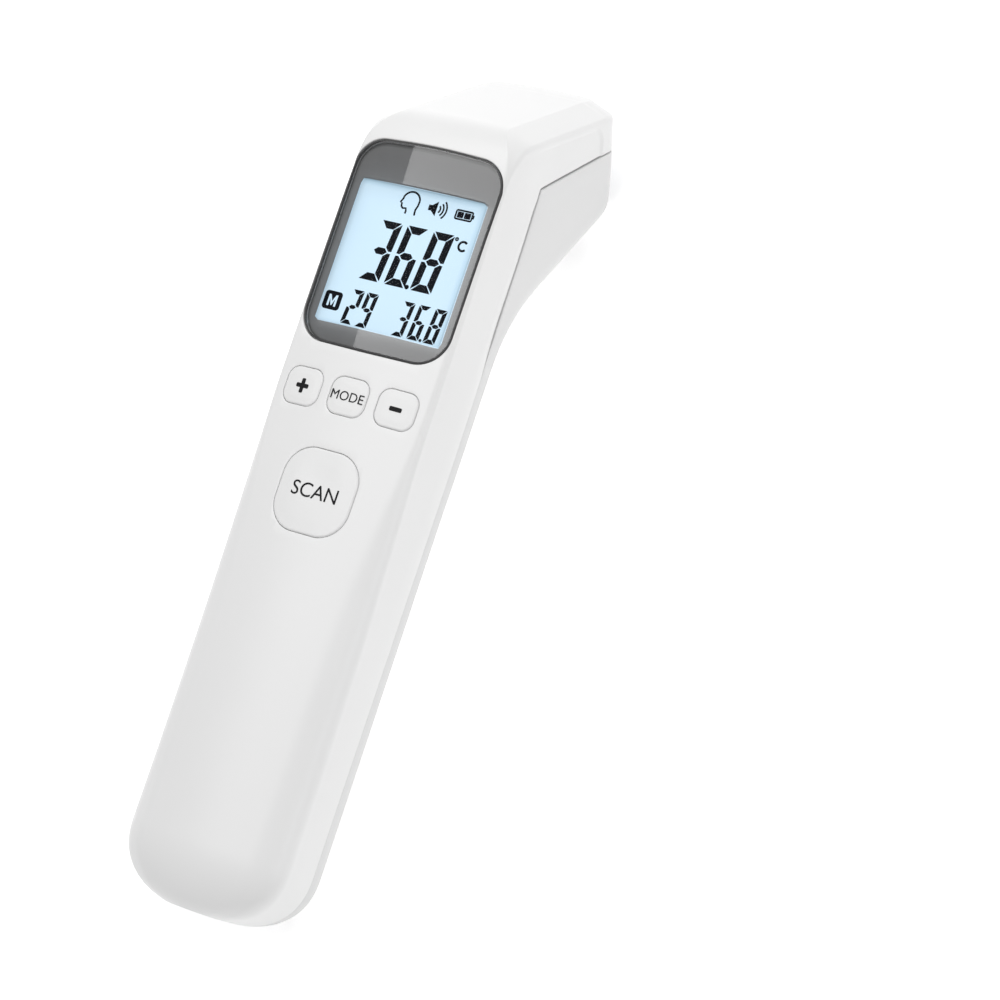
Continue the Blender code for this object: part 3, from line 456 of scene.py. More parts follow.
def seam_depth(rib, shift):
    """How far down its rib the seam crosses it, in the section's own depth."""
    run = rib.back - rib.front
    height = run.length
    points = seam_points(shift)
    crossings = []
    for a, b in zip(points, points[1:]):
        along = b - a
        bottom = run.x * along.y - run.y * along.x
        offset = a - rib.front
        place = (offset.x * along.y - offset.y * along.x) / bottom
        share = (offset.x * run.y - offset.y * run.x) / bottom
        crossings.append((abs(share - min(max(share, 0), 1)), place))
    place = min(crossings)[1]
    squeeze = (height - rib.top - rib.bottom) / height
    return (place * height - rib.top) / squeeze


def split(path, depth):
    """A path cut in two where it reaches a depth."""
    for k in range(1, len(path)):
        if path[k].y >= depth:
            share = (depth - path[k - 1].y) / max(path[k].y - path[k - 1].y, 1e-9)
            spot = path[k - 1].lerp(path[k], share)
            return path[:k] + [spot], [spot] + path[k:]
    return path, [path[-1], path[-1]]


def shell_rings(front):
    """The rings of the front or rear part of the solid body, with a rounded edge at the seam."""
    rings = []
    for rib in body_ribs():
        face, tail = rib_section(rib, SKIN, 0)
        opened = ease((rib.front.x - SEAM_OPENS) / SEAM_OPENS_OVER)
        gap, rounding = mix(*SEAM_GAPS, opened), mix(*SEAM_LIPS, opened)
        depth = seam_depth(rib, gap / 2 if front else -gap / 2)
        before, after = split(tail, depth)
        middle = Vector((0, depth))
        if front:
            side = resample(before, 26)
            lip = fillet(side[-4], side[-1], middle, rounding, 5)
            half = face + side[1:-3] + lip + [middle]
        else:
            side = resample(after, 44)
            lip = fillet(middle, side[0], side[4], rounding, 5)
            half = [middle] + lip + side[4:]
        rings.append([relieved(p, front) for p in placed(rib, half)])
    return rings


def roof_place(y, z):
    """How far along the roof and how far below it a point of the side view lies."""
    along = y - ROOF_CORNER
    return (along * sin(ROOF_TILT) - z * cos(ROOF_TILT), -along * cos(ROOF_TILT) - z * sin(ROOF_TILT))


def relieved(point, front):
    """A surface point after the shallow relief on the head's sides, its roof and the seam's bevel."""
    if not front:
        return point
    x, y, z = point
    side = 1 if x > 0 else -1
    s, t = roof_place(y, z)
    down, before = t - PANEL_TOP, PANEL_END - s
    corner_down, corner_before = PANEL_CORNER - down, PANEL_CORNER - before
    inside = min(down, before)
    if corner_down > 0 and corner_before > 0:
        inside = PANEL_CORNER - hypot(corner_down, corner_before)
    fade = ease((s - PANEL_START) / PANEL_FADE)
    sunk = PANEL_DEPTH * ease(inside / PANEL_STEP) * fade
    above_seam = z - SEAM[0][1] if y < SEAM[2][0] else 1
    along = ease((y - BEVEL_LOW) / BEVEL_FADES[0]) * ease((BEVEL_HIGH - y) / BEVEL_FADES[1])
    sunk += BEVEL_DEPTH * along * max(0, 1 - above_seam / BEVEL_WIDTH)
    if abs(x) > HEAD_HALF * 0.8:
        x -= side * sunk
    if t < 1.5 * MM and s > ROOF_CREASE - 1 * MM:
        roof_drop = ROOF_CREASE_DEPTH * ease((s - ROOF_CREASE) / ROOF_CREASE_STEP)
        y -= roof_drop * cos(ROOF_TILT)
        z -= roof_drop * sin(ROOF_TILT)
    return (x, y, z)


# Meshes


def skin(rings):
    """A surface through rings with the same number of points, open at both ends."""
    mesh = bmesh.new()
    loops = [[mesh.verts.new(point) for point in ring] for ring in rings]
    count = len(loops[0])
    for low, high in zip(loops, loops[1:]):
        for i in range(count):
            j = (i + 1) % count
            mesh.faces.new((low[i], low[j], high[j], high[i]))
    mesh.verts.ensure_lookup_table()
    return mesh


def loft(rings):
    """A closed solid through rings with the same number of points."""
    mesh = skin(rings)
    count = len(rings[0])
    mesh.faces.new(mesh.verts[:count])
    mesh.faces.new(reversed(mesh.verts[-count:]))
    return mesh


def prism(outline, low, high):
    return loft([[(p[0], p[1], z) for p in outline] for z in (low, high)])


def box(low, high):
    corners = [(low[0], low[1]), (high[0], low[1]), (high[0], high[1]), (low[0], high[1])]
    return prism(corners, low[2], high[2])


def rod(radius, low, high, steps=48):
    return prism(circle(radius, steps), low, high)


def turned(profile, steps=96):
    """A closed profile of (radius, z) turned about Z."""
    mesh = bmesh.new()
    verts = [mesh.verts.new((r, 0, z)) for r, z in profile]
    pairs = [(verts[i - 1], verts[i]) for i in range(len(verts)) if profile[i - 1][0] or profile[i][0]]
    edges = [mesh.edges.new(pair) for pair in pairs]
    bmesh.ops.spin(mesh, geom=verts + edges, cent=(0, 0, 0), axis=(0, 0, 1), angle=2 * pi, steps=steps)
    bmesh.ops.remove_doubles(mesh, verts=mesh.verts, dist=1e-6)
    return mesh


# Placing pieces


def device_matrix():
    """The device frame's place, from the record's mount on the handle's back."""
    mount = next(m for m in frame["record"]["mounts"] if m["name"] == "back_face")
    axis = Vector(mount["axis"])
    lean = Matrix.Rotation(atan2(axis.y, -axis.z), 4, "X")
    return Matrix.Translation(Vector(mount["pos_m"]) - lean @ Vector((0, 100 * MM, -HANDLE_DEPTH))) @ lean


DEVICE = device_matrix()


def link(name, data):
    """An object for some data, in the scene."""
    obj = bpy.data.objects.new(name, data)
    bpy.context.scene.collection.objects.link(obj)
    return obj


def new_object(name, mesh, place=Matrix()):
    """An object from a bmesh in the device frame, its vertices put in the part's frame."""
    mesh.transform(DEVICE @ place)
    bmesh.ops.recalc_face_normals(mesh, faces=mesh.faces)
    if all(edge.is_manifold for edge in mesh.edges) and mesh.calc_volume(signed=True) < 0:
        bmesh.ops.reverse_faces(mesh, faces=mesh.faces)
    data = bpy.data.meshes.new(name)
    mesh.to_mesh(data)
    mesh.free()
    data.shade_smooth()
    data.set_sharp_from_angle(angle=SMOOTH_ANGLE)
    return link(name, data)


def combine(target, operation, *others):
    """One Boolean with several objects, applied at once, after which they go."""
    group = bpy.data.collections.new("operands")
    for other in others:
        group.objects.link(other)
    modifier = target.modifiers.new("boolean", "BOOLEAN")
    modifier.operation = operation
    modifier.solver = "EXACT"
    modifier.operand_type = "COLLECTION"
    modifier.collection = group
    graph = bpy.context.evaluated_depsgraph_get()
    data = bpy.data.meshes.new_from_object(target.evaluated_get(graph))
    target.modifiers.clear()
    target.data = data
    for other in others:
        bpy.data.objects.remove(other, do_unlink=True)
    bpy.data.collections.remove(group)
    target.data.shade_smooth()
    target.data.set_sharp_from_angle(angle=SMOOTH_ANGLE)


def piece(obj, body, slot, material, *nodes):
    """Makes an object a piece of the part: its material, its body and the nodes it stands for. The slot is
    not used.
    """
    obj.data.materials.clear()
    obj.data.materials.append(material)
    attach(obj, body)
    if nodes:
        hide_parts(*nodes)


# Materials


def add(tree, kind, **inputs):
    node = tree.nodes.new(kind)
    for name, value in inputs.items():
        node.inputs[name.replace("_", " ")].default_value = value
    return node


def new_material(name):
    material = bpy.data.materials.new(name)
    material.use_nodes = True
    return material, material.node_tree


def textured(name, colours, roughness, scale, bump=0.05, fine=9000, metallic=0, coat=0):
    """Moulded or plated stuff: colour that drifts a little, uneven gloss and a fine grain."""
    material, tree = new_material(name)
    shader = tree.nodes["Principled BSDF"]
    where = tree.nodes.new("ShaderNodeTexCoord")
    drift = add(tree, "ShaderNodeTexNoise", Scale=scale, Detail=4)
    ramp = tree.nodes.new("ShaderNodeValToRGB")
    ramp.color_ramp.elements[0].position = 0.3
    ramp.color_ramp.elements[1].position = 0.7
    for element, colour in zip(ramp.color_ramp.elements, colours):
        element.color = (*colour, 1)
    gloss = tree.nodes.new("ShaderNodeMapRange")
    gloss.inputs["To Min"].default_value = roughness[0]
    gloss.inputs["To Max"].default_value = roughness[1]
    grain = add(tree, "ShaderNodeTexNoise", Scale=fine, Detail=2)
    dents = add(tree, "ShaderNodeBump", Strength=bump, Distance=0.02 * MM)
    links = tree.links
    links.new(where.outputs["Object"], drift.inputs["Vector"])
    links.new(where.outputs["Object"], grain.inputs["Vector"])
    links.new(drift.outputs["Fac"], ramp.inputs["Fac"])
    links.new(drift.outputs["Fac"], gloss.inputs["Value"])
    links.new(grain.outputs["Fac"], dents.inputs["Height"])
    links.new(ramp.outputs["Color"], shader.inputs["Base Color"])
    links.new(gloss.outputs["Result"], shader.inputs["Roughness"])
    links.new(dents.outputs["Normal"], shader.inputs["Normal"])
    shader.inputs["Metallic"].default_value = metallic
    shader.inputs["Coat Weight"].default_value = coat
    return material


def shade(colour, amount):
    return tuple(min(1, c * amount) for c in colour)


def stuff(name, colour, roughness, spread=0.06, scale=60, **more):
    """A textured material from one mean colour and one mean roughness."""
    colours = shade(colour, 1 - spread), shade(colour, 1 + spread)
    return textured(name, colours, (roughness * 0.85, roughness * 1.15), scale, **more)


def clear_plastic(name, index):
    """The polished window: see-through, with reflections by Fresnel and faint moulding waves."""
    material, tree = new_material(name)
    tree.nodes.remove(tree.nodes["Principled BSDF"])
    through = add(tree, "ShaderNodeBsdfTransparent", Color=(0.97, 0.975, 0.98, 1))
    shine = add(tree, "ShaderNodeBsdfGlossy", Roughness=0.03)
    fresnel = add(tree, "ShaderNodeFresnel", IOR=index)
    blend = tree.nodes.new("ShaderNodeMixShader")
    where = tree.nodes.new("ShaderNodeTexCoord")
    waves = add(tree, "ShaderNodeTexNoise", Scale=45, Detail=1)
    dents = add(tree, "ShaderNodeBump", Strength=0.06, Distance=0.1 * MM)
    links = tree.links
    links.new(where.outputs["Object"], waves.inputs["Vector"])
    links.new(waves.outputs["Fac"], dents.inputs["Height"])
    links.new(dents.outputs["Normal"], shine.inputs["Normal"])
    links.new(fresnel.outputs["Fac"], blend.inputs["Fac"])
    links.new(through.outputs["BSDF"], blend.inputs[1])
    links.new(shine.outputs["BSDF"], blend.inputs[2])
    links.new(blend.outputs["Shader"], tree.nodes["Material Output"].inputs["Surface"])
    return material


def lit_display():
    """The backlit liquid crystal: pale blue, a little darker and bluer along its edges: painted shade from
    the walls of its recess, together with the backlight's own falloff.
    """
    material = textured("lit_display", ((0.24, 0.33, 0.40), (0.26, 0.35, 0.42)), (0.25, 0.32), 40)
    tree = material.node_tree
    shader = tree.nodes["Principled BSDF"]
    where = next(n for n in tree.nodes if n.type == "TEX_COORD")
    apart = tree.nodes.new("ShaderNodeSeparateXYZ")
    tree.links.new(where.outputs["Generated"], apart.inputs["Vector"])
    least = tree.nodes.new("ShaderNodeMath")
    least.operation = "SMOOTH_MIN"
    least.inputs[2].default_value = 0.03
    for k, axis in enumerate(("X", "Y")):
        edge = tree.nodes.new("ShaderNodeMath")
        edge.operation = "PINGPONG"
        edge.inputs[1].default_value = 0.5
        tree.links.new(apart.outputs[axis], edge.inputs[0])
        tree.links.new(edge.outputs["Value"], least.inputs[k])
    # The emission colour darkens towards the edges: painted shade from the recess walls, together with the
    # backlight's falloff.
    rim = tree.nodes.new("ShaderNodeValToRGB")
    stops = rim.color_ramp.elements
    stops[0].position, stops[0].color = 0.0, (0.25, 0.36, 0.43, 1)
    stops[1].position, stops[1].color = 0.045, (0.61, 0.77, 0.88, 1)
    middle = stops.new(0.015)
    middle.color = (0.47, 0.63, 0.74, 1)
    tree.links.new(least.outputs["Value"], rim.inputs["Fac"])
    tree.links.new(rim.outputs["Color"], shader.inputs["Emission Color"])
    shader.inputs["Emission Strength"].default_value = 0.76
    shader.inputs["Specular IOR Level"].default_value = 0.1
    return material


def make_materials():
    """Every material by name. A carried-over CAD node takes the one named like its slot."""
    look = {}

    def make(name, *values, **more):
        look[name] = stuff(name, *values, **more)

    make("white_shell", (0.80, 0.80, 0.80), 0.34, 0.008, scale=35, bump=0.04)
    # A darker copy of the white plastic: painted shade for the rear shell and the battery door, which lie in
    # shade.
    make("rear_shell", (0.71, 0.71, 0.71), 0.36, 0.008, scale=35, bump=0.04)
    make("button", (0.79, 0.79, 0.79), 0.38, 0.008, scale=80, bump=0.05)
    make("white_inner", (0.74, 0.74, 0.73), 0.5, 0.02)
    make("lens_print", (0.25, 0.25, 0.253), 0.6, 0.04, scale=300)
    # Near-black rim on the window's edge: partly dark print, partly painted shade and painted reflection for
    # the gap and the rounded edge.
    make("lens_edge", (0.06, 0.06, 0.061), 0.3, 0.1)
    make("legend", (0.012, 0.012, 0.013), 0.45, 0.2, scale=900)
    make("segment", (0.004, 0.005, 0.008), 0.7, 0.2, scale=300)
    make("light_guide", (0.85, 0.90, 0.92), 0.3, 0.02)
    make("led", (0.92, 0.88, 0.62), 0.3, 0.04)
    make("rubber", (0.30, 0.30, 0.32), 0.8, 0.15, scale=2500)
    make("board", (0.03, 0.24, 0.10), 0.42, 0.2, scale=500)
    make("black_part", (0.02, 0.02, 0.022), 0.45, 0.2)
    make("switch_stem", (0.05, 0.05, 0.05), 0.5, 0.2)
    make("capacitor", (0.05, 0.07, 0.20), 0.35, 0.1)
    make("battery", (0.10, 0.11, 0.13), 0.3, 0.15, scale=120)
    make("nickel", (0.72, 0.70, 0.66), 0.25, 0.05, metallic=1, scale=900)
    make("steel", (0.60, 0.60, 0.61), 0.3, 0.08, metallic=1, scale=1200)
    make("chrome", (0.83, 0.83, 0.84), 0.08, 0.03, metallic=1, scale=200)
    make("filter", (0.05, 0.05, 0.07), 0.08, 0.2, coat=1)
    make("grey_part", (0.30, 0.31, 0.33), 0.45, 0.05, bump=0.2, fine=5000)
    make("ribbon", (0.75, 0.75, 0.73), 0.5, 0.06, scale=800)
    make("foam", (0.08, 0.08, 0.085), 0.95, 0.4, bump=0.8, fine=3000, scale=1500)
    make("red_wire", (0.62, 0.04, 0.03), 0.4, 0.08)
    make("black_wire", (0.02, 0.02, 0.02), 0.4, 0.2)
    look["clear"] = clear_plastic("clear_plastic", 1.85)
    look["clear_coated"] = clear_plastic("clear_coated", 1.12)
    look["display"] = lit_display()
    for name in ("segment", "legend"):
        look[name].node_tree.nodes["Principled BSDF"].inputs["Specular IOR Level"].default_value = 0.1
    return look


# Pieces


def flared_hole(button):
    """A cutter through the front wall for a button, whose mouth opens out with a rounded lip."""
    levels = []
    for k in range(6):
        angle = radians(15 * k)
        levels.append((HOLE_LIP * (1 - cos(angle)), -HOLE_LIP * (1 - sin(angle))))
    turn = radians(75)
    wide = HOLE_LIP * (1 - cos(turn)) + 0.3 * MM * tan(turn)
    levels += [(wide, -HOLE_LIP * (1 - sin(turn)) + 0.3 * MM), (wide, 4 * MM)]
    rings = [[(p.x, p.y, HOLE_BOTTOM) for p in button_outline(button, BUTTON_GAP)]]
    rings += [on_face(button_outline(button, BUTTON_GAP + grow), rise) for grow, rise in levels]
    return loft(rings)


def lens_outline(grow=0, steps=14):
    top, low = LENS_TOP + grow, LENS_LOW - grow
    wide_top, wide_low = LENS_HALF_TOP + grow, LENS_HALF_LOW + grow
    corners = [
        (0, low - LENS_ARCH / 2),
        (wide_low, low),
        (wide_top, top - LENS_ARCH / 2),
        (0, top + LENS_ARCH / 2),
        (-wide_top, top - LENS_ARCH / 2),
        (-wide_low, low),
    ]
    low_corner, top_corner = LENS_CORNERS
    radii = [LENS_ARCH_RADIUS, low_corner, top_corner, LENS_ARCH_RADIUS, top_corner, low_corner]
    return rounded_outline(corners, [r + grow for r in radii], steps)


def display_outline(grow=0):
    size = DISPLAY_WIDTH + 2 * grow, DISPLAY_HEIGHT + 2 * grow
    return rounded_box(*size, 0.6 * MM + max(grow, 0), (0, DISPLAY_MIDDLE), 6)


def button_outline(button, grow):
    size = button.width + 2 * grow, button.height + 2 * grow
    return rounded_box(*size, button.corner + grow, (button.x, button.y), 14)


def lens_pocket():
    """A cutter for the window's recess, with a crowned floor and a rounded mouth."""
    floor = -LENS_SUNK - LENS_THICKNESS - 0.3 * MM
    levels = [(POCKET_GAP, floor), (POCKET_GAP, -0.3 * MM), (0.2 * MM, -0.15 * MM), (0.32 * MM, -0.03 * MM)]
    levels += [(1.2 * MM, 0.35 * MM), (1.2 * MM, 6 * MM)]
    middle = (LENS_LOW + LENS_TOP) / 2
    rings = []
    for share in (0.0125, 0.125, 0.25, 0.375, 0.5, 0.625, 0.75, 0.875):
        outline = [(p.x * share, mix(middle, p.y, share)) for p in lens_outline(POCKET_GAP)]
        rings.append([(x, y, front_height(x, y) + floor) for x, y in outline])
    return loft(rings + [on_face(lens_outline(grow), rise) for grow, rise in levels])


def make_front_shell(look):
    shell = new_object("front_shell", loft(shell_rings(True)))
    cutters = [new_object("cut_cavity", loft(cavity_rings())), new_object("cut_pocket", lens_pocket())]
    window = prism(display_outline(WINDOW_MARGIN), HOLE_BOTTOM, 3 * MM)
    cutters.append(new_object("cut_window", window))
    cutters += [new_object("cut_button", flared_hole(button)) for button in BUTTONS]
    combine(shell, "DIFFERENCE", *cutters)
    piece(shell, "body", "white_shell", look["white_shell"], "front_cover")


def door_block(grow):
    """The battery door's block, rounded at its two upper corners in plan."""
    size = 2 * (DOOR_HALF + grow), DOOR_TOP + DOOR_REACH + grow
    middle = (0, (DOOR_TOP - DOOR_REACH + grow) / 2)
    outline = rounded_box(*size, DOOR_CORNER + grow, middle, 8)
    return prism(outline, -HANDLE_DEPTH - 2 * MM, -HANDLE_DEPTH + DOOR_DEPTH + grow)


def make_rear_shell(look):
    shell = new_object("rear_shell", loft(shell_rings(False)))
    cutters = [new_object("cut_cavity", loft(cavity_rings())), new_object("cut_door", door_block(GAP / 2))]
    for name in ("low_right", "low_left", "top_right", "top_left"):
        place = screw_frame("case_screw_" + name)
        cutters.append(new_object("screw_hole", rod(SCREW_HOLE_RADIUS, 1 * MM, 30 * MM), place))
    combine(shell, "DIFFERENCE", *cutters)
    # The rear shell takes the white shell's slot with the darker plastic, whose darkness is painted shade.
    piece(shell, "body", "white_shell", look["rear_shell"], "rear_cover")


def screw_frame(node):
    """A case screw's frame, with Z towards its head, from the screw's own box."""
    low, high = (Vector(corner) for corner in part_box(node))
    middle = DEVICE.inverted() @ ((low + high) / 2)
    turn = 0 if "low" in node else pi / 2 + ROOF_TILT - pi
    return Matrix.Translation(middle) @ Matrix.Rotation(pi + turn, 4, "X")


def make_door(look):
    """The battery door, with grip grooves that get shorter towards the foot."""
    door = new_object("door_panel", loft(shell_rings(False)))
    combine(door, "INTERSECT", new_object("keep_door", door_block(-GAP / 2)))
    cutters = [new_object("cut_cavity", loft(cavity_rings()))]
    for k in range(GRIP_GROOVES):
        y = DOOR_TOP - 8 * MM - k * GRIP_STEP
        half = (9 - 0.9 * k) * MM
        outline = rounded_box(2 * half, 0.8 * MM, 0.39 * MM, (0, y), 5)
        groove = prism(outline, -HANDLE_DEPTH - 1 * MM, -HANDLE_DEPTH + 0.45 * MM)
        cutters.append(new_object("cut_grip", groove))
    combine(door, "DIFFERENCE", *cutters)
    # The door also takes the darker plastic, whose darkness is painted shade.
    piece(door, "battery_door", "white_shell", look["rear_shell"], "battery_door")


def make_lens(look):
    """The clear window in two parts, its dark edge, which is partly print and partly painted shade and
    painted reflection, and the border printed on its back.
    """
    under = -LENS_SUNK - LENS_THICKNESS
    levels = [(0, under), (0, -LENS_SUNK - 0.3 * MM), (-0.06 * MM, -LENS_SUNK - 0.12 * MM)]
    levels += [(-0.2 * MM, -LENS_SUNK - 0.03 * MM), (-LENS_EDGE, -LENS_SUNK)]
    # A near-black band round the window's edge: partly print, partly painted shade and painted reflection.
    band = new_object("lens_edge", skin([on_face(lens_outline(grow), rise) for grow, rise in levels]))
    piece(band, "body", "lens", look["lens_edge"])
    border = new_object("lens_window", skin(border_rings(-LENS_EDGE, VIEW_SHIFT, -LENS_SUNK)))
    piece(border, "body", "lens", look["clear"], "display_lens")
    pane = new_object("lens_centre", display_pane())
    piece(pane, "body", "lens", look["clear_coated"])
    sheet = new_object("lens_border", skin(border_rings(-0.3 * MM, 0, -PRINT_DEPTH)))
    solidify = sheet.modifiers.new("thickness", "SOLIDIFY")
    solidify.thickness = 0.06 * MM
    piece(sheet, "body", "lens", look["lens_print"])


def shifted(points, along):
    return [p + Vector((along, 0)) for p in points]


def border_rings(grow, along, rise, steps=8):
    """Rings over the crowned face from the window's outline to the display's opening."""
    outer = aligned(resample(close(lens_outline(grow)), 96)[:-1])
    inner = aligned(resample(close(display_outline()), 96)[:-1])
    rings = []
    for k in range(steps + 1):
        path = [a.lerp(b, k / steps) for a, b in zip(outer, shifted(inner, along))]
        rings.append(on_face(path, rise))
    return rings


def display_pane(steps=12):
    """The window's coated part, over the display, from its outline to its middle."""
    outline = shifted(display_outline(), VIEW_SHIFT)
    rings = [on_face(outline, -LENS_SUNK)]
    for k in range(1, steps):
        share = 1 - k / steps
        spots = [(mix(VIEW_SHIFT, p.x, share), mix(DISPLAY_MIDDLE, p.y, share)) for p in outline]
        rings.append([(x, y, front_height(x, y) - LENS_SUNK) for x, y in spots])
    mesh = skin(rings)
    mesh.faces.new(mesh.verts[-len(outline):])
    return mesh


def close(points):
    return points + points[:1]


def aligned(points):
    """The same loop, starting at its point straight below the display's middle."""
    turns = [abs(atan2(p.x, DISPLAY_MIDDLE - p.y)) for p in points]
    first = turns.index(min(turns))
    return points[first:] + points[:first]


def make_button(button, look):
    """A cap with a rounded edge and a slightly crowned top, dimpled on the large one."""
    middle = Vector((button.x, button.y))
    dimple = DIMPLE_DEPTH if button.name == "scan" else 0

    def top(x, y, rise):
        away = hypot(x - button.x, y - button.y - DIMPLE_SHIFT) / DIMPLE_REACH
        return front_height(x, y) + rise - dimple * ease(1 - away)

    rings = [[(p.x, p.y, -button.shelf) for p in button_outline(button, 0)]]
    for k in range(7):
        angle = radians(15 * k)
        inset = BUTTON_EDGE * (1 - cos(angle))
        drop = BUTTON_EDGE * (1 - sin(angle))
        rings.append([(p.x, p.y, top(p.x, p.y, BUTTON_RISE - drop)) for p in button_outline(button, -inset)])
    last = button_outline(button, -BUTTON_EDGE)
    for k in range(1, 16):
        path = [middle + (p - middle) * (1 - k / 16) for p in last]
        rings.append([(p.x, p.y, top(p.x, p.y, BUTTON_RISE + BUTTON_CROWN * ease(k / 6))) for p in path])
    cap = new_object(f"{button.name}_cap", loft(rings))
    name = f"{button.name}_button"
    piece(cap, name, "button", look["button"], name)
    make_legend(button, look, lambda x, y: top(x, y, BUTTON_RISE + BUTTON_CROWN))


def text_mesh(words, width):
    """Plain lettering from Blender's built-in font, centred, as a flat bmesh of a given width."""
    curve = bpy.data.curves.new("lettering", "FONT")
    curve.body = words
    curve.size = 1
    curve.resolution_u = 6
    obj = link("lettering", curve)
    data = bpy.data.meshes.new_from_object(obj.evaluated_get(bpy.context.evaluated_depsgraph_get()))
    bpy.data.objects.remove(obj, do_unlink=True)
    mesh = bmesh.new()
    mesh.from_mesh(data)
    xs, ys = [v.co.x for v in mesh.verts], [v.co.y for v in mesh.verts]
    scale = width / (max(xs) - min(xs))
    for vert in mesh.verts:
        vert.co.x = (vert.co.x - (max(xs) + min(xs)) / 2) * scale
        vert.co.y = (vert.co.y - (max(ys) + min(ys)) / 2) * scale
    return mesh


def flat_mesh(outline):
    mesh = bmesh.new()
    polygon(mesh, outline)
    return mesh


def thickened(mesh, height):
    """A flat bmesh cut into triangles and given a small thickness upwards."""
    bmesh.ops.triangulate(mesh, faces=mesh.faces)
    shape = bmesh.ops.extrude_face_region(mesh, geom=mesh.faces[:])
    for item in shape["geom"]:
        if isinstance(item, bmesh.types.BMVert):
            item.co.z += height
    return mesh


def make_legend(button, look, height_at):
    if button.name in LEGENDS:
        words, width = LEGENDS[button.name]
        mesh = text_mesh(words, width)
    elif button.name == "plus":
        mesh = flat_mesh(cross_outline(3.1 * MM, 0.9 * MM))
    else:
        mesh = flat_mesh(rounded_box(2.8 * MM, 0.95 * MM, 0.95 * MM * 0.28, steps=5))
    thickened(mesh, 0.04 * MM)
    for vert in mesh.verts:
        x, y = vert.co.x + button.x, vert.co.y + button.y
        vert.co = Vector((x, y, height_at(x, y) + 0.01 * MM + vert.co.z))
    legend = new_object(f"{button.name}_legend", mesh)
    piece(legend, f"{button.name}_button", "button", look["legend"])


def cross_outline(span, thick):
    a, b = thick / 2, span / 2
    corners = [(a, a), (a, b), (-a, b), (-a, a), (-b, a), (-b, -a), (-a, -a), (-a, -b), (a, -b)]
    corners += [(a, -a), (b, -a), (b, a)]
    return rounded_outline(corners, [0.05 * MM, 0.25 * MM, 0.25 * MM] * 4, 4)


# The display's picture

SEGMENTS = {"2": "abged", "3": "abgcd", "6": "afgedc", "8": "abcdefg", "9": "abcdfg"}


def segment_shapes(width, height, thick, gap):
    """The seven bars of a digit, as corner lists, from its lower left corner."""
    t, g, w, h, m = thick, gap, width, height, height / 2
    half, slot = t * 0.46, t + g * 0.4
    return {
        "a": [(g, h), (w - g, h), (w - slot, h - t), (slot, h - t)],
        "d": [(slot, t), (w - slot, t), (w - g, 0), (g, 0)],
        "b": [(w, h - g), (w, m + g * 1.1), (w - half, m + g * 0.8), (w - t, m + half + g),
              (w - t, h - slot)],
        "c": [(w, m - g * 1.1), (w, g), (w - t, slot), (w - t, m - half - g), (w - half, m - g * 0.8)],
        "f": [(0, h - g), (t, h - slot), (t, m + half + g), (half, m + g * 0.8), (0, m + g * 1.1)],
        "e": [(0, g), (0, m - g * 1.1), (half, m - g * 0.8), (t, m - half - g), (t, slot)],
        "g": [(half + g, m), (t + g * 0.6, m + half), (w - t - g * 0.6, m + half), (w - half - g, m),
              (w - t - g * 0.6, m - half), (t + g * 0.6, m - half)],
    }


def digit(mesh, kind, corner, width, height, thick, gap):
    shapes = segment_shapes(width, height, thick, gap)
    for name in SEGMENTS[kind]:
        polygon(mesh, [(corner[0] + x + y * DIGIT_SLANT, corner[1] + y) for x, y in shapes[name]])


def polygon(mesh, points):
    mesh.faces.new([mesh.verts.new((x, y, 0)) for x, y in points])


def stroke(mesh, points, width):
    """A flat band along a path."""
    points = [Vector(p) for p in points]
    sides = []
    for k, point in enumerate(points):
        along = (points[min(k + 1, len(points) - 1)] - points[max(k - 1, 0)]).normalized()
        across = Vector((-along.y, along.x)) * width / 2
        sides.append((mesh.verts.new((*(point + across), 0)), mesh.verts.new((*(point - across), 0))))
    for (a, b), (c, d) in zip(sides, sides[1:]):
        mesh.faces.new((a, b, d, c))


def arc(centre, radius, first, last, steps=10):
    angles = [radians(mix(first, last, k / steps)) for k in range(steps + 1)]
    return [(centre[0] + radius * cos(a), centre[1] + radius * sin(a)) for a in angles]


def picture(name, mesh, look):
    """A part of the display's picture, on the liquid crystal's face. Its mesh is in millimetres."""
    bmesh.ops.scale(mesh, vec=(MM, MM, MM), verts=mesh.verts)
    thickened(mesh, 0.03 * MM)
    bmesh.ops.translate(mesh, vec=(0, 0, LCD_FACE + 0.06 * MM), verts=mesh.verts)
    piece(new_object(name, mesh), "body", "display", look["segment"])


def large_reading(look):
    mesh = bmesh.new()
    low, height = 133.45, 13.1
    for kind, x in (("3", -9.3), ("6", -2.95), ("8", 3.45)):
        digit(mesh, kind, (x, low), 5.1, height, 1.6, 0.24)
    polygon(mesh, circle(0.5, 20, (2.62, low + 0.42)))
    stroke(mesh, close(circle(0.28, 20, (10.25, 145.95))), 0.34)
    stroke(mesh, arc((12.1, 144.7), 0.98, 42, 318, 20), 0.5)
    picture("large_reading", mesh, look)


def small_readings(look):
    mesh = bmesh.new()
    low, height = 123.45, 7.5
    for kind, x in (("2", -9.85), ("9", -6.35), ("3", 2.6), ("6", 6.45), ("8", 10.35)):
        digit(mesh, kind, (x, low), 2.8, height, 0.92, 0.15)
    polygon(mesh, circle(0.34, 20, (9.75, low + 0.3)))
    picture("small_readings", mesh, look)


def memory_mark(look):
    """A rounded box with an M left open in it."""
    mesh = bmesh.new()
    middle = (-13.3, 127.6)
    ring_with_hole(mesh, rounded_box(4.2, 4.0, 0.75, middle, 6), letter_m(*middle, 2.2, 2.5, 0.5))
    picture("memory_mark", mesh, look)


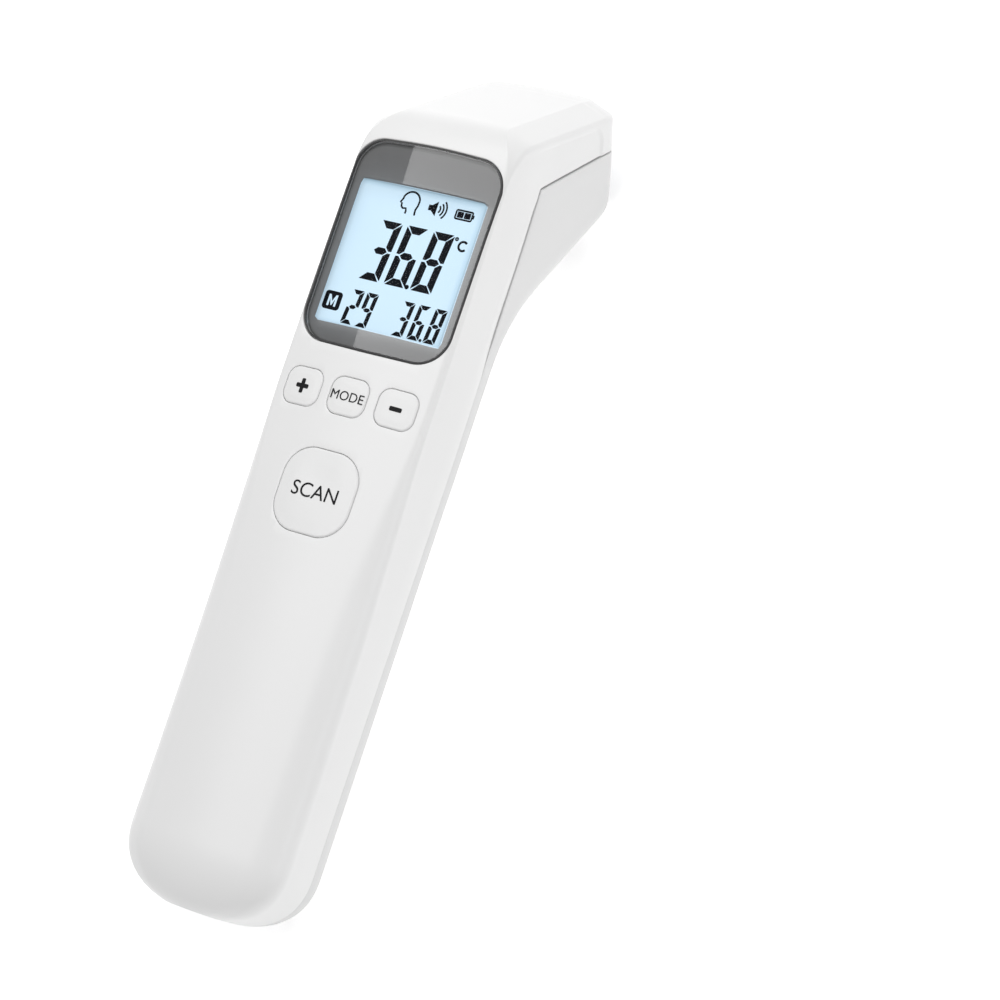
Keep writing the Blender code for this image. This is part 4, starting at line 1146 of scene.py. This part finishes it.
def letter_m(x, y, width, height, thick):
    w, h, t = width / 2, height / 2, thick
    shape = [(-w, -h), (-w, h), (-w + t, h), (0, -h * 0.1), (w - t, h), (w, h), (w, -h), (w - t, -h)]
    shape += [(w - t, h * 0.25), (0.12, -h * 0.85), (-0.12, -h * 0.85), (-w + t, h * 0.25), (-w + t, -h)]
    return [Vector((x + a, y + b)) for a, b in shape]


def ring_with_hole(mesh, outline, hole):
    """Fills between an outline and a hole in it."""
    edges = []
    for loop in (outline, hole):
        verts = [mesh.verts.new((p.x, p.y, 0)) for p in loop]
        edges += [mesh.edges.new((a, b)) for a, b in zip(verts, verts[1:] + verts[:1])]
    bmesh.ops.triangle_fill(mesh, use_beauty=True, use_dissolve=False, edges=edges)


def status_icons(look):
    """A simple head in outline, a speaker with three waves and a battery with two cells."""
    mesh = bmesh.new()
    crown = arc((-3.1, 151.6), 2.05, 10, 158, 16)
    face = [(-5.05, 151.9), (-5.45, 151.05), (-5.05, 150.9), (-4.95, 150.2), (-4.5, 149.85), (-3.75, 149.95)]
    stroke(mesh, crown + face + [(-3.55, 149.35), (-3.6, 148.8)], 0.42)
    stroke(mesh, [(-1.08, 151.95), (-1.15, 150.9), (-1.45, 150.0), (-1.4, 149.3), (-1.3, 148.8)], 0.42)
    polygon(mesh, [(1.35, 150.6), (2.1, 150.6), (3.35, 149.6), (3.35, 152.8), (2.1, 151.8), (1.35, 151.8)])
    for radius in (1.0, 1.75, 2.5):
        stroke(mesh, arc((3.2, 151.2), radius, -46, 46), 0.38)
    body = rounded_box(3.9, 1.9, 0.3, (10.0, 151.05), 4)
    stroke(mesh, close(body), 0.38)
    for x in (9.15, 10.85):
        polygon(mesh, rounded_box(1.5, 1.3, 0.12, (x, 151.05), 3))
    polygon(mesh, [(12.05, 150.65), (12.45, 150.65), (12.45, 151.45), (12.05, 151.45)])
    picture("status_icons", mesh, look)


def make_display(look):
    """The lit face and its picture, a generic reading with a memory reading below it."""
    outline = shifted(display_outline(0.35 * MM), LCD_SHIFT)
    rings = [[(p.x, p.y, LCD_FACE + rise) for p in outline] for rise in (0.01 * MM, 0.05 * MM)]
    piece(new_object("lcd_face", loft(rings)), "body", "display", look["display"])
    large_reading(look)
    small_readings(look)
    memory_mark(look)
    status_icons(look)


def make_sensor(look):
    """The end plate of the head, the bright cone behind its mouth and the sensor's dark window."""
    place = sensor_matrix()
    bezel = new_object("sensor_ring", loft(cavity_rings(GAP)))
    keep = box((-25 * MM, -25 * MM, -8 * MM), (25 * MM, 25 * MM, 4 * MM))
    combine(bezel, "INTERSECT", new_object("bezel_end", keep, place))
    for operation, depth in (("INTERSECT", BEZEL_SUNK), ("DIFFERENCE", BEZEL_SUNK + BEZEL_THICKNESS)):
        inwards = Matrix.Translation(sensor_axis() * -depth)
        combine(bezel, operation, new_object("bezel_face", loft(whole_rings()), inwards))
    mouth = rod(MOUTH_RADIUS + 0.9 * MM, -10 * MM, 5 * MM, 96)
    combine(bezel, "DIFFERENCE", new_object("bezel_mouth", mouth, place))
    piece(bezel, "body", "grey_part", look["grey_part"], "sensor_bezel")
    lip = MOUTH_RADIUS + CONE_RIM
    cone = [(MOUTH_RADIUS, -1.25 * MM), (MOUTH_RADIUS + 0.15 * MM, -1.1 * MM), (lip - 0.15 * MM, -1.1 * MM)]
    cone += [(lip, -1.25 * MM), (lip, -2.8 * MM), (CONE_END + 1 * MM, -CONE_DEPTH), (CONE_END, -CONE_DEPTH)]
    cone += [(CONE_END, 0.8 * MM - CONE_DEPTH)]
    piece(new_object("reflector", turned(cone), place), "body", "chrome", look["chrome"], "sensor_cone")
    window = [(0, -9.3 * MM), (2 * MM, -9.3 * MM), (2 * MM, -9.05 * MM), (1.9 * MM, -9 * MM)]
    window += [(0, -8.97 * MM)]
    disc = new_object("sensor_window", turned(window), place)
    piece(disc, "body", "filter", look["filter"], "thermopile_window")


def finish_nodes(look):
    """Gives every carried-over CAD node the procedural material of its slot."""
    slots = {entry["node"]: entry["material_slot"] for entry in frame["record"]["subparts"]}
    for name, node in frame["nodes"].items():
        for slot in node.material_slots:
            slot.link = "OBJECT"
            slot.material = look.get(slots[name], look["lens_edge"])


# Stage


def make_camera():
    data = bpy.data.cameras.new("camera")
    data.lens = CAMERA_LENS
    data.sensor_width = 36
    data.clip_start = 0.01
    camera = link("camera", data)
    right = CAMERA_RIGHT.normalized()
    back = (CAMERA_BACK - right * CAMERA_BACK.dot(right)).normalized()
    turn = Matrix((right, back.cross(right), back)).transposed().to_4x4()
    camera.matrix_world = DEVICE @ Matrix.Translation(CAMERA_PLACE) @ turn
    bpy.context.scene.camera = camera


def make_floor():
    mesh = bmesh.new()
    bmesh.ops.create_grid(mesh, x_segments=2, y_segments=2, size=3)
    data = bpy.data.meshes.new("floor")
    mesh.to_mesh(data)
    mesh.free()
    floor = link("floor", data)
    material, tree = new_material("floor")
    shader = tree.nodes["Principled BSDF"]
    shader.inputs["Base Color"].default_value = (0.9, 0.9, 0.9, 1)
    shader.inputs["Roughness"].default_value = 0.9
    shader.inputs["Emission Color"].default_value = (1, 1, 1, 1)
    shader.inputs["Emission Strength"].default_value = 0.45
    data.materials.append(material)


def area_light(name, place, target, size, power):
    data = bpy.data.lights.new(name, "AREA")
    data.shape = "RECTANGLE"
    data.size, data.size_y = size
    data.energy = power
    lamp = link(name, data)
    lamp.location = place
    lamp.rotation_euler = (Vector(target) - Vector(place)).to_track_quat("-Z", "Y").to_euler()


def make_light():
    world = bpy.data.worlds.new("world")
    world.use_nodes = True
    world.node_tree.nodes["Background"].inputs["Color"].default_value = (1, 1, 1, 1)
    world.node_tree.nodes["Background"].inputs["Strength"].default_value = 0.43
    bpy.context.scene.world = world
    area_light("overhead", (-0.16, 0.12, 0.6), (-0.16, 0.05, 0), (0.46, 0.8), 2.4)
    area_light("behind", (0.1, 0.9, 0.75), (0, 0.05, 0), (0.9, 0.6), 2.1)
    area_light("right", (1.0, -0.1, 0.5), (0, 0.02, 0), (0.7, 0.7), 1.65)


def main():
    make_camera()
    bpy.context.scene.view_settings.view_transform = "Standard"
    look = make_materials()
    finish_nodes(look)
    make_front_shell(look)
    make_rear_shell(look)
    make_door(look)
    make_lens(look)
    make_display(look)
    for button in BUTTONS:
        make_button(button, look)
    make_sensor(look)
    make_floor()
    make_light()


main()
